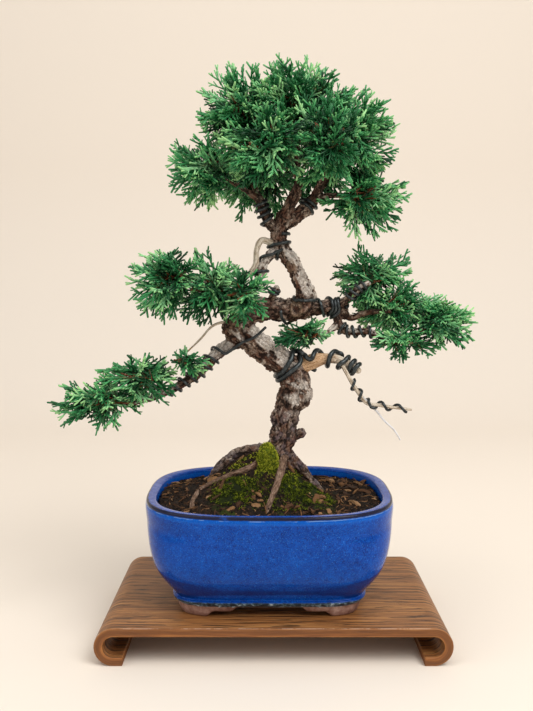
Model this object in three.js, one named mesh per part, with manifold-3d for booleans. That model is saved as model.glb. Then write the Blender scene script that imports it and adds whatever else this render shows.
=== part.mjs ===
// A trained juniper bonsai in a blue glazed pot, standing on a bentwood display stand.
// Millimetres, +Z up, the tree's front towards -Y. Heights count from the surface under the stand.
import * as THREE from "three";
import { mergeVertices } from "three/addons/utils/BufferGeometryUtils.js";
import Module from "manifold-3d";

const wasm = await Module();
wasm.setup();

const GAP = 0.3; // clearance that neighbouring pieces keep

// Display stand: one bent sheet of plywood, both ends rolled under
const STAND_WIDTH = 240;
const STAND_DEPTH = 140;
const STAND_HEIGHT = 26;
const STAND_THICKNESS = 6;
const STAND_LIP = 6; // flat run at the end of each roll, which the stand rests on
const STAND_ROLL_SEGMENTS = 7;

// Pot: half-width at the rim, and its profile as [half-width, height over the stand]
const POT_HALF_WIDTH = 89;
// Its plan outline at a low and a high place over the stand: superellipse power, and half-width less half-depth
const POT_PLAN = { heights: [12, 62], power: [6, 3], inset: [12, 15] };
const POT_SEGMENTS = 24;
const POT_NARROWEST = 40; // inside this half-width the outline keeps its proportions
const POT_CENTRE_X = -2.6;
const POT_OUTSIDE = [
  [0, 7], [64, 7], [66.9, 8.6], [67.5, 11.4], [66.1, 12.8], [70.6, 19], [75.6, 25], [80.4, 32],
  [85.2, 45.5], [88.4, 62], [89, 72.5], [87.4, 76.5],
];
const POT_INSIDE = [[81.6, 76], [80.8, 60], [78.4, 46], [70.2, 28], [54, 15], [0, 15]];
const FOOT_RING = { inner: 54, outer: 63.3, top: 65.5 }; // half-widths of the ring that the feet are cut from
// Cut between two feet: half its width at the base and above the step, and the step's height
const FOOT_GAP = { wide: 43, narrow: 23, step: 3.6 };
const SIDE_FOOT_GAP = { wide: 29, narrow: 15, step: 3.6 };
const DRAIN_HOLE = { radius: 8, x: 30 };
const DRAIN_MESH = { size: 25, thickness: 1, slot: 4.4, bar: 2.4 };

// Soil: filled to below the rim, heaped up round the foot of the trunk
const SOIL_LEVEL = 70.5;
const MOUND = { x: -6, y: 3, height: 33, left: 42, right: 33, depth: 31 };
const SOIL_RINGS = [72, 57, 44, 32, 20];
const CHIPS = { count: 7, ring: [58, 44], scatter: 10, length: [5, 9], width: [3, 5], thickness: 2, raised: 0.3 };
// Moss: a cushion that climbs the trunk's foot and two low pads, as [x, y, half-width, half-depth, rise]
const MOSS_PADS = [[-3.2, -10, 7.5, 7, 13], [24, -21, 19, 14, 1.8], [-28, -26, 17, 11, 1.8]];
const MOSS = { sunk: 1.5, segments: 12 };

// Wood: every limb is a list of [x, y, z, radius] along its middle
const WOOD = {
  trunk: [
    [2, 4, 102, 9], [2.5, 1, 119, 11.4], [4.2, 0, 130, 10.4], [7.8, 0, 142, 9.6], [10, 0, 157, 9.6],
    [13.5, 0, 170, 10.4], [15.8, -0.5, 184, 10.6], [12, -1, 193, 9.9], [-3.6, -3, 203.5, 9.2],
    [-14, -4, 212.5, 9.2], [-22, -4, 220, 9.5], [-23, -2, 228, 9.4], [-14, 2, 233.8, 8.8],
    [-1, 4, 234.6, 8.4], [12, 3, 234.2, 8.2], [21, 1, 236.5, 7.8], [23.6, 0, 243, 6.8],
    [19.4, -2, 256, 5.9], [13, -2, 269, 5.6], [5.4, 0, 280, 6.1], [4.2, 0, 288, 5.8], [8, 0, 301, 5.6],
  ],
  burl: [[17, -1, 178, 5], [21, -2, 174, 8], [20.5, -2, 170, 7.6], [15, -1, 165, 5]],
  low_stub: [[12, 0, 141.5, 5], [17.4, -0.6, 143, 3.8], [20.6, -1, 144.4, 3.9]],
  knee_stub: [[-20, -4, 214, 8], [-28, -6, 219.5, 8.2], [-31, -6.5, 222.5, 6.2]],
  bar_stub: [[-1, 3, 240, 3.4], [0.5, -1, 247, 2.4], [2.6, -2, 250.5, 2.2]],
  root_left: [
    [5, 2, 127, 7], [-7, 5, 129.6, 5.2], [-24.5, 8, 127.6, 4.4], [-37, 10, 119.4, 3.9],
    [-45, 11, 109, 3.5], [-49, 11, 99, 2.8],
  ],
  root_front_left: [
    [1, -1, 129, 4], [-8, -8, 125.4, 2.8], [-17, -12, 121, 2.3], [-35, -10.5, 113.6, 2],
    [-52, -10, 104.6, 1.9], [-56.5, -20, 100.6, 1.8], [-57, -34, 98, 1.7], [-57.5, -41, 94, 1.5],
  ],
  root_front: [
    [6.5, -2, 134, 5], [7, -9, 125, 3.4], [5, -17.5, 117, 2.7], [2, -25.5, 110.4, 2.4],
    [-1, -33.5, 104.8, 2.2], [-4, -44, 99, 2], [-4.5, -50, 94, 1.8],
  ],
  root_right: [
    [8, 0, 131, 5.6], [19, -1, 120.6, 3.9], [27, -3, 111.4, 2.9], [35, -5, 102.6, 2.2], [41, -6, 96, 1.7],
  ],
  root_back: [[6, 4, 129, 6], [4, 16, 120.6, 3.8], [1, 27, 112, 2.9], [-2, 37, 103.4, 2.5], [-3, 45, 95, 2]],
  stem_a: [
    [6.5, 0, 297, 5.4], [11.3, -2, 308.5, 4.6], [16.2, -4, 318, 4], [18.3, -5, 328, 3.3],
    [14.7, -5, 334, 2.6],
  ],
  stem_b: [
    [8, 0, 296, 5.4], [19, 4, 303.4, 5.2], [24.6, 7, 308.6, 4.8], [30.5, 9, 316, 4.1], [36, 10, 325, 3],
  ],
  crown_branch: [[3, 0, 291, 4.4], [-3.6, -2, 297.5, 3.7], [-7.2, -4, 305.5, 3.4], [-9.5, -6, 313, 2.9]],
  twig_top: [[16.5, -5, 330, 2.8], [17, -5, 345, 2.1], [15, -3.5, 360, 1.6]],
  twig_top_left: [[15, -5, 333, 2.4], [3, -4, 343, 2], [-9, -4, 353, 1.6]],
  twig_front: [[15, -5, 332.5, 2.3], [7, -13, 337, 1.9], [1, -22, 340.5, 1.5]],
  twig_front_right: [[30, 8.5, 315.5, 3], [34, -6, 326, 2.1], [35, -20, 336, 1.5]],
  twig_right: [[35.5, 10, 324, 2.8], [43, 6, 335, 2.1], [49.5, 1, 344, 1.6]],
  twig_low_right: [[30, 8.5, 315, 3], [42, 5, 316.5, 2.1], [53, 2, 316.5, 1.6]],
  twig_back_right: [[35, 10, 323, 2.8], [37, 19, 333, 2], [36, 28, 342, 1.5]],
  twig_left: [[-9.2, -5.6, 312, 2.9], [-20, -5, 320, 2.1], [-32, -3, 327, 1.6]],
  twig_back_left: [[-9, -5.4, 311.5, 2.9], [-13, 8, 322, 2.1], [-17, 22, 334, 1.6]],
  dead_loop: [
    [4, 0, 281, 4], [-3.4, -2, 283.4, 2.3], [-8.5, -4, 284.2, 2.2], [-11.6, -6, 278, 2.1],
    [-12.6, -7, 267, 2], [-19, -9, 258.6, 1.9], [-29, -11, 254.6, 1.8], [-43, -16, 254, 1.6],
    [-57, -19, 254, 1.4],
  ],
  wired_twig: [
    [3, 0, 279, 4.6], [-6, -5, 268, 2.9], [-9.5, -8, 258, 2.7], [-14.5, -10, 250.5, 2.5],
    [-24, -12, 246.4, 2.1], [-33, -13, 247, 1.7],
  ],
  twig_knee: [[-15, 0, 237, 3], [-17, -12, 242, 2], [-19, -21, 244.6, 1.5]],
  low_branch: [
    [-20, -4, 214, 7], [-31, -6, 209.5, 4.7], [-43, -10, 201, 4.3], [-52, -13, 191.5, 3.9],
    [-61, -15.4, 185.2, 3.3], [-72, -18, 178.8, 2.7], [-84, -20, 173.4, 2.2], [-97, -22.4, 170, 1.7],
  ],
  low_twig_up: [[-76, -18.6, 177, 2.2], [-83, -19, 181, 1.8], [-89, -19.6, 185, 1.4]],
  low_twig_inner: [[-54, -13.4, 189.6, 2.6], [-57, -17, 193.6, 1.7], [-59.4, -19.6, 196.4, 1.3]],
  dead_branch: [
    [13, 0, 188, 8], [22, -0.6, 194.6, 6.3], [32, -3, 198.7, 4.8], [41, -5, 200, 3.7],
    [48, -7, 198.8, 3], [55.4, -8, 195.2, 2.7], [61, -9, 191.4, 2.5],
  ],
  dead_hair: [
    [-23, -5, 227, 2], [-34, -9, 226.5, 1.1], [-43, -10.5, 223.6, 0.9], [-52, -11, 214, 0.75],
    [-62, -12, 204.4, 0.55],
  ],
  dead_twist: [
    [44, -6, 199.6, 2], [49, -10.4, 196, 1.6], [52.3, -12.6, 190.4, 1.5], [57, -13, 182, 1.4],
    [61.7, -13, 175, 1.4], [66.8, -14, 168.6, 1.3], [75.8, -15, 167.2, 1.3], [86, -16, 165.7, 1.1],
    [98, -17, 164.4, 0.9],
  ],
  dead_whip: [
    [62, -13, 174.4, 1.2], [73.8, -14, 163, 0.75], [79, -15, 156.7, 0.7], [86.7, -16, 149.2, 0.65],
    [90.7, -17, 142.8, 0.5],
  ],
  right_branch: [[18, 1, 235.4, 7.4], [33.5, 3, 236.2, 5.4], [42.7, 4, 236.8, 5], [50.5, 5, 234.6, 4.4]],
  right_twig_up: [[46.5, 4.4, 236, 4], [54.3, -2, 243.4, 2.6], [61, -6, 250, 2.4], [68, -5, 253.6, 2]],
  right_twig_low: [
    [47, 4.4, 235, 4], [47.4, 3, 226, 3.2], [51.7, 2, 219.6, 2.9], [59, 1, 218.6, 2.6],
    [68, -1, 219, 2.4], [78, -3, 216, 2.2], [90, -5, 214.6, 1.9], [102, -4.4, 217.4, 1.5],
  ],
  right_twig_mid: [
    [49, 5, 233.4, 4], [57, 5.4, 228.6, 2.6], [66, 4, 232, 2.3], [76, 2.6, 233.4, 1.9], [85, 2, 233.4, 1.6],
  ],
  right_twig_under: [[76, -2.6, 216.6, 2.2], [82, -7, 213.6, 1.7], [87, -9, 211.6, 1.4]],
  fringe_twig: [[47.4, 3, 224.6, 2.8], [40, 0, 218.4, 1.9], [31, -2.6, 216.4, 1.5]],
};
// Sides of a limb whose greatest radius is at least this
const LIMB_SIDES = [[6, 8], [3.2, 5], [0, 4]];

// Training wire: each route is made of coils, as [limb, start, end, turns, first angle in turns], with the
// start and end as fractions of the limb, and of stretches laid by hand, as lists of points
const WIRES = {
  wire_heavy: {
    radius: 1.7,
    route: [
      ["trunk", 0.315, 0.35, 2.1, 0.75],
      ["dead_branch", 0.3, 0.6, -1.4, 0.48],
      ["dead_branch", 0.66, 0.96, -3, 0.2],
    ],
  },
  wire_dead_twist: { radius: 1, route: [["dead_twist", 0.34, 0.97, 4.5, 0.2]] },
  wire_low_branch: {
    radius: 1,
    route: [[[-5, -13.5, 223], [-13, -14.5, 216], [-22, -15, 212]], ["low_branch", 0.22, 0.74, 7, 0.4]],
  },
  wire_bar: {
    radius: 1.15,
    route: [["trunk", 0.645, 0.7, 0.9, 0.6], ["right_branch", 0.3, 0.6, 1, 0.3], ["right_branch", 0.66, 0.97, 3, 0.4]],
  },
  wire_up_twig: { radius: 1.05, route: [["right_twig_up", 0.38, 0.86, 3.4, 0.3]] },
  wire_low_twig: { radius: 1.05, route: [["right_twig_low", 0.2, 0.66, 5, 0.1]] },
  wire_neck: {
    radius: 1.15,
    route: [["trunk", 0.93, 0.888, 1.6, 0.1], ["wired_twig", 0.2, 0.68, 2.8, 0.75]],
  },
  wire_crown: {
    radius: 1.15,
    route: [["trunk", 0.958, 0.972, 0.6, 0.7], ["crown_branch", 0.36, 0.94, 3.6, 0.2]],
  },
  wire_stem: { radius: 1.1, route: [["stem_b", 0.42, 0.62, 1.6, 0.3]] },
  wire_stub: { radius: 0.9, route: [["bar_stub", 0.45, 0.92, 1.8, 0.2]] },
};
const WIRE_SIDES = 4;
const TURN_STEPS = 6; // straight stretches in one turn
const LONGEST_LINK = 6; // longest straight stretch where a wire passes from one limb to another
const RELAX_PASSES = 60;
const SHARPEST_BEND = 1.3; // radians between two stretches
const BEND_EASING = 0.15;

// Foliage: each leafy branch starts at the tip of a twig and fills an ellipsoid with sprays
const FOLIAGE = {
  crown_top: { twig: "twig_top", centre: [20, -2, 377], reach: [44, 36, 36], sprays: 9 },
  crown_top_left: { twig: "twig_top_left", centre: [-20, -4, 371], reach: [37, 34, 34], sprays: 7 },
  crown_left: { twig: "twig_left", centre: [-47, -1, 334], reach: [31, 34, 26], sprays: 6 },
  crown_front: { twig: "twig_front", centre: [-6, -36, 346], reach: [33, 26, 30], sprays: 7 },
  crown_front_right: { twig: "twig_front_right", centre: [34, -36, 350], reach: [30, 26, 32], sprays: 7 },
  crown_right: { twig: "twig_right", centre: [57, -2, 356], reach: [31, 33, 34], sprays: 7 },
  crown_low_right: { twig: "twig_low_right", centre: [66, 0, 312], reach: [30, 30, 28], sprays: 6 },
  crown_back_left: { twig: "twig_back_left", centre: [-10, 36, 335], reach: [40, 28, 38], sprays: 7 },
  crown_back_right: { twig: "twig_back_right", centre: [34, 37, 350], reach: [38, 27, 36], sprays: 7 },
  left_outer: { twig: "dead_loop", centre: [-74, -22, 254], reach: [29, 29, 25], sprays: 6 },
  left_inner: { twig: "wired_twig", centre: [-47, -14, 250], reach: [29, 31, 28], sprays: 6 },
  left_front: { twig: "twig_knee", centre: [-22, -34, 246], reach: [20, 18, 22], sprays: 4 },
  lower_left_tip: { twig: "low_branch", centre: [-124, -24, 171], reach: [29, 27, 19], sprays: 7 },
  lower_left_mid: { twig: "low_twig_up", centre: [-95, -21, 186], reach: [27, 25, 19], sprays: 5 },
  lower_left_inner: { twig: "low_twig_inner", centre: [-62, -22, 199], reach: [17, 16, 10], sprays: 3 },
  right_top: { twig: "right_twig_up", centre: [75, 18, 254], reach: [32, 29, 28], sprays: 6 },
  right_mid: { twig: "right_twig_mid", centre: [92, 15, 237], reach: [34, 30, 24], sprays: 5 },
  right_tip: { twig: "right_twig_low", centre: [121, -2, 224], reach: [25, 30, 19], sprays: 6 },
  right_under: { twig: "right_twig_under", centre: [93, -10, 210], reach: [27, 24, 12], sprays: 3 },
  right_fringe: { twig: "fringe_twig", centre: [22, -4, 217], reach: [27, 20, 12], sprays: 4 },
};
const SPRAY = { thickness: 1.2, halfStem: 0.6, bare: 0.38, pitch: 0.22, teeth: 2, tooth: 10.5, spread: 6.8 };
const CORE = { lead: 5, overshoot: 0.45, middle: 1.3, end: 1 }; // the leafy branch's own twig
const FOLIAGE_CLEARANCE = 0.55; // kept to other branches, wood and wire
const LOWEST_AIM = -0.62; // sprays point no further down than this
const AIM_TRIES = 7;

const COLOURS = {
  stand: ["#6b4a33", 0.55, 0],
  pot: ["#12398f", 0.22, 0],
  soil: ["#2a211b", 0.95, 0],
  moss: ["#5c7a1c", 0.95, 0],
  bark: ["#6a5142", 0.9, 0],
  wire: ["#2b3033", 0.45, 0.8],
  foliage: ["#2f7a4e", 0.75, 0],
  mesh: ["#1d1d1d", 0.6, 0],
};

const vector = ([x, y, z]) => new THREE.Vector3(x, y, z);

// A seeded stream of numbers from 0 to 1
function stream(seed) {
  let state = seed;
  return () => {
    state = (state + 0x6d2b79f5) | 0;
    let mixed = Math.imul(state ^ (state >>> 15), 1 | state);
    mixed = (mixed + Math.imul(mixed ^ (mixed >>> 7), 61 | mixed)) ^ mixed;
    return ((mixed ^ (mixed >>> 14)) >>> 0) / 4294967296;
  };
}

// A closed geometry as a solid that can be cut and joined, and back again
function solid(geometry) {
  const bare = geometry.clone();
  bare.deleteAttribute("normal");
  bare.deleteAttribute("uv");
  const merged = mergeVertices(bare, 1e-4);
  return new wasm.Manifold(
    new wasm.Mesh({
      numProp: 3,
      vertProperties: merged.attributes.position.array,
      triVerts: new Uint32Array(merged.index.array),
    }),
  );
}

function geometryOf(body) {
  const mesh = body.simplify(0.004).getMesh();
  const geometry = new THREE.BufferGeometry();
  geometry.setAttribute("position", new THREE.BufferAttribute(mesh.vertProperties, 3));
  geometry.setIndex(new THREE.BufferAttribute(mesh.triVerts, 1));
  geometry.computeVertexNormals();
  return geometry;
}

const largest = (body) => body.decompose().sort((a, b) => b.volume() - a.volume())[0];

// Evenly turned frames along a smooth curve through [x, y, z, radius] points
function framesAlong(points, steps) {
  const curve = new THREE.CatmullRomCurve3(points.map(vector), false, "centripetal");
  const start = curve.getTangent(0);
  let normal = new THREE.Vector3(0, 1, 0).addScaledVector(start, -start.y).normalize();
  const frames = [];
  for (let i = 0; i <= steps; i++) {
    const t = i / steps;
    const tangent = curve.getTangent(t);
    normal = normal.clone().addScaledVector(tangent, -normal.dot(tangent)).normalize();
    const place = t * (points.length - 1);
    const before = Math.min(Math.floor(place), points.length - 2);
    frames.push({
      centre: curve.getPoint(t),
      radius: THREE.MathUtils.lerp(points[before][3], points[before + 1][3], place - before),
      tangent,
      normal,
      side: new THREE.Vector3().crossVectors(tangent, normal),
    });
  }
  return frames;
}

// A tapering limb with flat ends: a cylinder bent through its points
function limb(points, sides, thicker = 0) {
  const steps = points.length - 1;
  const frames = framesAlong(points, steps);
  const geometry = new THREE.CylinderGeometry(1, 1, 1, sides, steps);
  const position = geometry.attributes.position;
  for (let i = 0; i < position.count; i++) {
    const frame = frames[Math.round((0.5 - position.getY(i)) * steps)];
    const reach = frame.radius + thicker;
    const point = frame.centre
      .clone()
      .addScaledVector(frame.normal, position.getX(i) * reach)
      .addScaledVector(frame.side, position.getZ(i) * reach);
    position.setXYZ(i, point.x, point.y, point.z);
  }
  return solid(geometry);
}

// ---- Display stand ----
function stand() {
  const outer = STAND_HEIGHT / 2;
  const inner = outer - STAND_THICKNESS;
  const rollX = STAND_WIDTH / 2 - outer;
  const lipX = rollX - STAND_LIP;
  const section = new THREE.Shape();
  section.moveTo(lipX, 0);
  section.lineTo(rollX, 0);
  section.absarc(rollX, outer, outer, -Math.PI / 2, Math.PI / 2, false);
  section.absarc(-rollX, outer, outer, Math.PI / 2, (Math.PI * 3) / 2, false);
  section.lineTo(-lipX, 0);
  section.lineTo(-lipX, STAND_THICKNESS);
  section.absarc(-rollX, outer, inner, (Math.PI * 3) / 2, Math.PI / 2, true);
  section.absarc(rollX, outer, inner, Math.PI / 2, -Math.PI / 2, true);
  section.lineTo(lipX, STAND_THICKNESS);
  const options = { depth: STAND_DEPTH, bevelEnabled: false, curveSegments: STAND_ROLL_SEGMENTS };
  const geometry = new THREE.ExtrudeGeometry(section, options);
  return solid(geometry.rotateX(Math.PI / 2).translate(0, STAND_DEPTH / 2, 0));
}

// ---- Pot ----
// A value of the pot's plan outline at a height over the stand
function potPlan(key, z) {
  const [low, high] = POT_PLAN.heights;
  return THREE.MathUtils.lerp(...POT_PLAN[key], THREE.MathUtils.clamp((z - low) / (high - low), 0, 1));
}

// Half-depth of the pot's outline at a height where its half-width is r
function halfDepth(r, z) {
  const inset = potPlan("inset", z);
  return r >= POT_NARROWEST ? r - inset : (r * (POT_NARROWEST - inset)) / POT_NARROWEST;
}

// A body turned from a profile of [half-width, height over the stand], squared off to the pot's outline
function potTurned(profile, height = (x, y, z) => z) {
  const lathe = new THREE.LatheGeometry(profile.map(([r, z]) => new THREE.Vector2(r, z)), POT_SEGMENTS);
  lathe.rotateX(Math.PI / 2);
  const position = lathe.attributes.position;
  for (let i = 0; i < position.count; i++) {
    const r = Math.hypot(position.getX(i), position.getY(i));
    const z = position.getZ(i);
    const power = 2 / potPlan("power", z);
    const squared = (share) => (Math.abs(share) < 1e-6 ? 0 : Math.sign(share) * Math.abs(share) ** power);
    const x = r < 1e-6 ? 0 : r * squared(position.getX(i) / r);
    const y = r < 1e-6 ? 0 : halfDepth(r, z) * squared(position.getY(i) / r);
    position.setXYZ(i, x + POT_CENTRE_X, y, STAND_HEIGHT + height(x + POT_CENTRE_X, y, z));
  }
  return solid(lathe);
}

// The stepped gap between two feet, cut right through the pot's foot ring along one axis
function footGap({ wide, narrow, step }, length) {
  const top = POT_OUTSIDE[0][1];
  const half = [[wide, -1], [wide, 0.4], [wide - 3, step], [narrow + 2.5, step], [narrow, top]];
  const mirrored = half.map(([x, z]) => [-x, z]).reverse();
  const section = new THREE.Shape([...half, ...mirrored].map(([x, z]) => new THREE.Vector2(x, z)));
  const geometry = new THREE.ExtrudeGeometry(section, { depth: length, bevelEnabled: false });
  return geometry.translate(0, 0, -length / 2).rotateX(Math.PI / 2).translate(0, 0, STAND_HEIGHT);
}

function pot() {
  const shell = potTurned([...POT_OUTSIDE, ...POT_INSIDE]);
  const base = POT_OUTSIDE[0][1];
  const ring = potTurned([
    [FOOT_RING.inner, 0], [FOOT_RING.outer, 0], [FOOT_RING.top, base + 1], [FOOT_RING.inner, base + 1],
    [FOOT_RING.inner, 0],
  ]);
  const front = solid(footGap(FOOT_GAP, 2 * POT_HALF_WIDTH).translate(POT_CENTRE_X, 0, 0));
  const sides = solid(footGap(SIDE_FOOT_GAP, 3 * POT_HALF_WIDTH).rotateZ(Math.PI / 2));
  const floor = POT_INSIDE.at(-1)[1];
  const holes = [-DRAIN_HOLE.x, DRAIN_HOLE.x].map((x) =>
    solid(
      new THREE.CylinderGeometry(DRAIN_HOLE.radius, DRAIN_HOLE.radius, floor, 14)
        .rotateX(Math.PI / 2)
        .translate(x, 0, STAND_HEIGHT + floor / 2 + 2),
    ),
  );
  return wasm.Manifold.difference([shell.add(ring.subtract(front).subtract(sides)), ...holes]);
}

// A square of plastic mesh laid over a drain hole, under the soil
function drainMesh(x, thicker = 0) {
  const floor = STAND_HEIGHT + POT_INSIDE.at(-1)[1] + GAP;
  const size = DRAIN_MESH.size + 2 * thicker;
  const height = DRAIN_MESH.thickness + thicker;
  const plate = solid(new THREE.BoxGeometry(size, size, height).translate(x, 0, floor + height / 2));
  if (thicker) return plate;
  const pitch = DRAIN_MESH.slot + DRAIN_MESH.bar;
  const slots = [-1, 0, 1].map((n) =>
    solid(new THREE.BoxGeometry(DRAIN_MESH.slot, 20, 4).translate(x + n * pitch, 0, floor)),
  );
  return wasm.Manifold.difference([plate, ...slots]);
}

// ---- Soil and moss ----
function soilTop(x, y) {
  const wide = x < MOUND.x ? MOUND.left : MOUND.right;
  const fall = ((x - MOUND.x) / wide) ** 2 + ((y - MOUND.y) / MOUND.depth) ** 2;
  const crumbs = 0.7 * Math.sin(0.45 * x + 0.8) * Math.cos(0.5 * y - 0.3);
  return SOIL_LEVEL + MOUND.height * Math.exp(-fall) + crumbs;
}

function soil() {
  const wall = POT_INSIDE.slice(1).reverse();
  const profile = wall.map(([r, z]) => [Math.max(r - GAP - 0.1, 0), z + GAP]);
  const rim = profile.at(-1)[0];
  profile.push([rim, SOIL_LEVEL - 2], ...SOIL_RINGS.map((r) => [r, SOIL_LEVEL]), [0, SOIL_LEVEL]);
  const heaped = potTurned(profile, (x, y, z) => (z === SOIL_LEVEL ? soilTop(x, y) : z));
  const random = stream(5);
  const chips = [];
  const { count, ring, scatter, length, width, thickness, raised } = CHIPS;
  for (let i = 0; i < count; i++) {
    const turn = (i / count) * 2 * Math.PI + 0.5 * random();
    const x = POT_CENTRE_X + Math.cos(turn) * (ring[0] + scatter * random());
    const y = Math.sin(turn) * (ring[1] + scatter * random());
    const sides = [length, width].map(([least, most]) => THREE.MathUtils.lerp(least, most, random()));
    const chip = new THREE.BoxGeometry(...sides, thickness).rotateX(random() - 0.5).rotateZ(2 * Math.PI * random());
    chips.push(solid(chip.translate(x, y, STAND_HEIGHT + soilTop(x, y) + raised)));
  }
  return wasm.Manifold.union([heaped, ...chips]);
}

// A cushion of moss, sunk a little way into the soil; thicker makes the hollow that it lies in
function mossPad([x, y, halfWidth, halfDeep, rise], thicker = 0) {
  const levels = [[0, -1], [0.9, -1], [1, 0], [0.8, 0.6], [0.4, 0.92], [0, 1]];
  const profile = levels.map(([r, z]) => new THREE.Vector2(r, z));
  const lathe = new THREE.LatheGeometry(profile, MOSS.segments).rotateX(Math.PI / 2);
  const position = lathe.attributes.position;
  for (let i = 0; i < position.count; i++) {
    const px = x + (halfWidth + thicker) * position.getX(i);
    const py = y + (halfDeep + thicker) * position.getY(i);
    const layer = position.getZ(i) * (position.getZ(i) > 0 ? rise : MOSS.sunk + thicker);
    position.setXYZ(i, px, py, STAND_HEIGHT + soilTop(px, py) + layer);
  }
  return solid(lathe);
}

// ---- Wood ----
function wood(thicker = 0) {
  const limbs = Object.values(WOOD).map((points) => {
    const thickest = Math.max(...points.map((point) => point[3]));
    const [, sides] = LIMB_SIDES.find(([least]) => thickest >= least);
    return limb(points, sides, thicker);
  });
  return wasm.Manifold.union(limbs);
}

// ---- What wire and foliage must stay clear of: balls strung along every limb, wire and needle ----
const BALL_SPACING = 0.9;
const obstacles = [];

function ballsAlong(from, to, fromRadius, toRadius) {
  const count = Math.max(1, Math.ceil(from.distanceTo(to) / BALL_SPACING));
  return Array.from({ length: count + 1 }, (_, i) => ({
    centre: from.clone().lerp(to, i / count),
    radius: THREE.MathUtils.lerp(fromRadius, toRadius, i / count),
  }));
}

function addObstacle(owner, ...stretch) {
  for (const ball of ballsAlong(...stretch)) obstacles.push({ owner, ...ball });
}

function addChain(owner, frames) {
  for (let i = 1; i < frames.length; i++) {
    const [a, b] = [frames[i - 1], frames[i]];
    addObstacle(owner, a.centre, b.centre, a.radius, b.radius);
  }
}

// Whether a straight stretch is clear of every obstacle but those whose owner's name starts with mine
function isClear(mine, ...stretch) {
  const others = obstacles.filter((ball) => !ball.owner.startsWith(mine));
  return ballsAlong(...stretch).every(({ centre, radius }) =>
    others.every((ball) => ball.centre.distanceTo(centre) > ball.radius + radius + FOLIAGE_CLEARANCE),
  );
}

// ---- Training wire ----
// Points wound round a limb from one place on it to another
function turnsRound(limbName, start, end, turns, firstAngle, radius) {
  const frames = framesAlong(WOOD[limbName], 400);
  const count = Math.ceil(Math.abs(turns) * TURN_STEPS);
  const wound = [];
  for (let i = 0; i <= count; i++) {
    const frame = frames[Math.round(THREE.MathUtils.lerp(start, end, i / count) * 400)];
    const angle = (firstAngle + (turns * i) / count) * 2 * Math.PI;
    const reach = (frame.radius + radius + GAP) / Math.cos(Math.PI / TURN_STEPS);
    wound.push(
      frame.centre
        .clone()
        .addScaledVector(frame.normal, Math.cos(angle) * reach)
        .addScaledVector(frame.side, Math.sin(angle) * reach),
    );
  }
  return wound;
}

// Moves the points of a wire until its straight stretches are clear of the wood, of other wires and of
// each other, and no bend folds back on itself
function clearOfAll(points, radius) {
  for (let pass = 0; pass < RELAX_PASSES; pass++) {
    for (let i = 1; i < points.length - 1; i++) {
      const bend = points[i].clone().sub(points[i - 1]).angleTo(points[i + 1].clone().sub(points[i]));
      const halfway = points[i - 1].clone().lerp(points[i + 1], 0.5);
      if (bend > SHARPEST_BEND) points[i].lerp(halfway, BEND_EASING);
    }
    for (let i = 1; i < points.length; i++) {
      const stretch = new THREE.Line3(points[i - 1], points[i]);
      for (const ball of obstacles) {
        const t = stretch.closestPointToPointParameter(ball.centre, true);
        const away = stretch.at(t, new THREE.Vector3()).sub(ball.centre);
        const lack = ball.radius + radius + GAP + 0.1 - away.length();
        if (lack <= 0) continue;
        away.setLength(lack);
        points[i - 1].addScaledVector(away, 1 - t);
        points[i].addScaledVector(away, t);
      }
      for (let j = i + 3; j < points.length; j++) pushApart(points, i, j, 2 * radius + GAP);
    }
  }
}

// Moves the stretches that end at points i and j away from each other where they come too close
function pushApart(points, i, j, distance) {
  const [one, other] = [i, j].map((k) => new THREE.Line3(points[k - 1], points[k]));
  for (const s of [0, 0.25, 0.5, 0.75, 1]) {
    const here = one.at(s, new THREE.Vector3());
    const t = other.closestPointToPointParameter(here, true);
    const away = here.sub(other.at(t, new THREE.Vector3()));
    const lack = distance - away.length();
    if (lack <= 0) continue;
    away.setLength(lack / 2);
    points[i - 1].addScaledVector(away, 1 - s);
    points[i].addScaledVector(away, s);
    points[j - 1].addScaledVector(away, t - 1);
    points[j].addScaledVector(away, -t);
  }
}

function wire(name) {
  const { radius, route } = WIRES[name];
  const points = [];
  for (const leg of route) {
    const wound = typeof leg[0] === "string" ? turnsRound(...leg, radius) : leg.map(vector);
    const last = points.at(-1)?.clone();
    const between = last ? Math.ceil(last.distanceTo(wound[0]) / LONGEST_LINK) : 0;
    for (let i = 1; i < between; i++) points.push(last.clone().lerp(wound[0], i / between));
    points.push(...wound);
  }
  clearOfAll(points, radius);
  const placed = points.map((point) => [...point.toArray(), radius]);
  addChain(name, framesAlong(placed, placed.length - 1));
  return limb(placed, WIRE_SIDES);
}

// ---- Foliage ----
const randomVector = (random) => new THREE.Vector3(random() - 0.5, random() - 0.5, random() - 0.5);

// Directions spread evenly over a ball, on a golden-angle spiral
function aim(index, count, twist) {
  const z = 1 - ((index + 0.5) / count) * (1 - LOWEST_AIM);
  const angle = index * Math.PI * (3 - Math.sqrt(5)) + twist;
  const flat = Math.sqrt(1 - z * z);
  return new THREE.Vector3(flat * Math.cos(angle), flat * Math.sin(angle), z);
}

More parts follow.
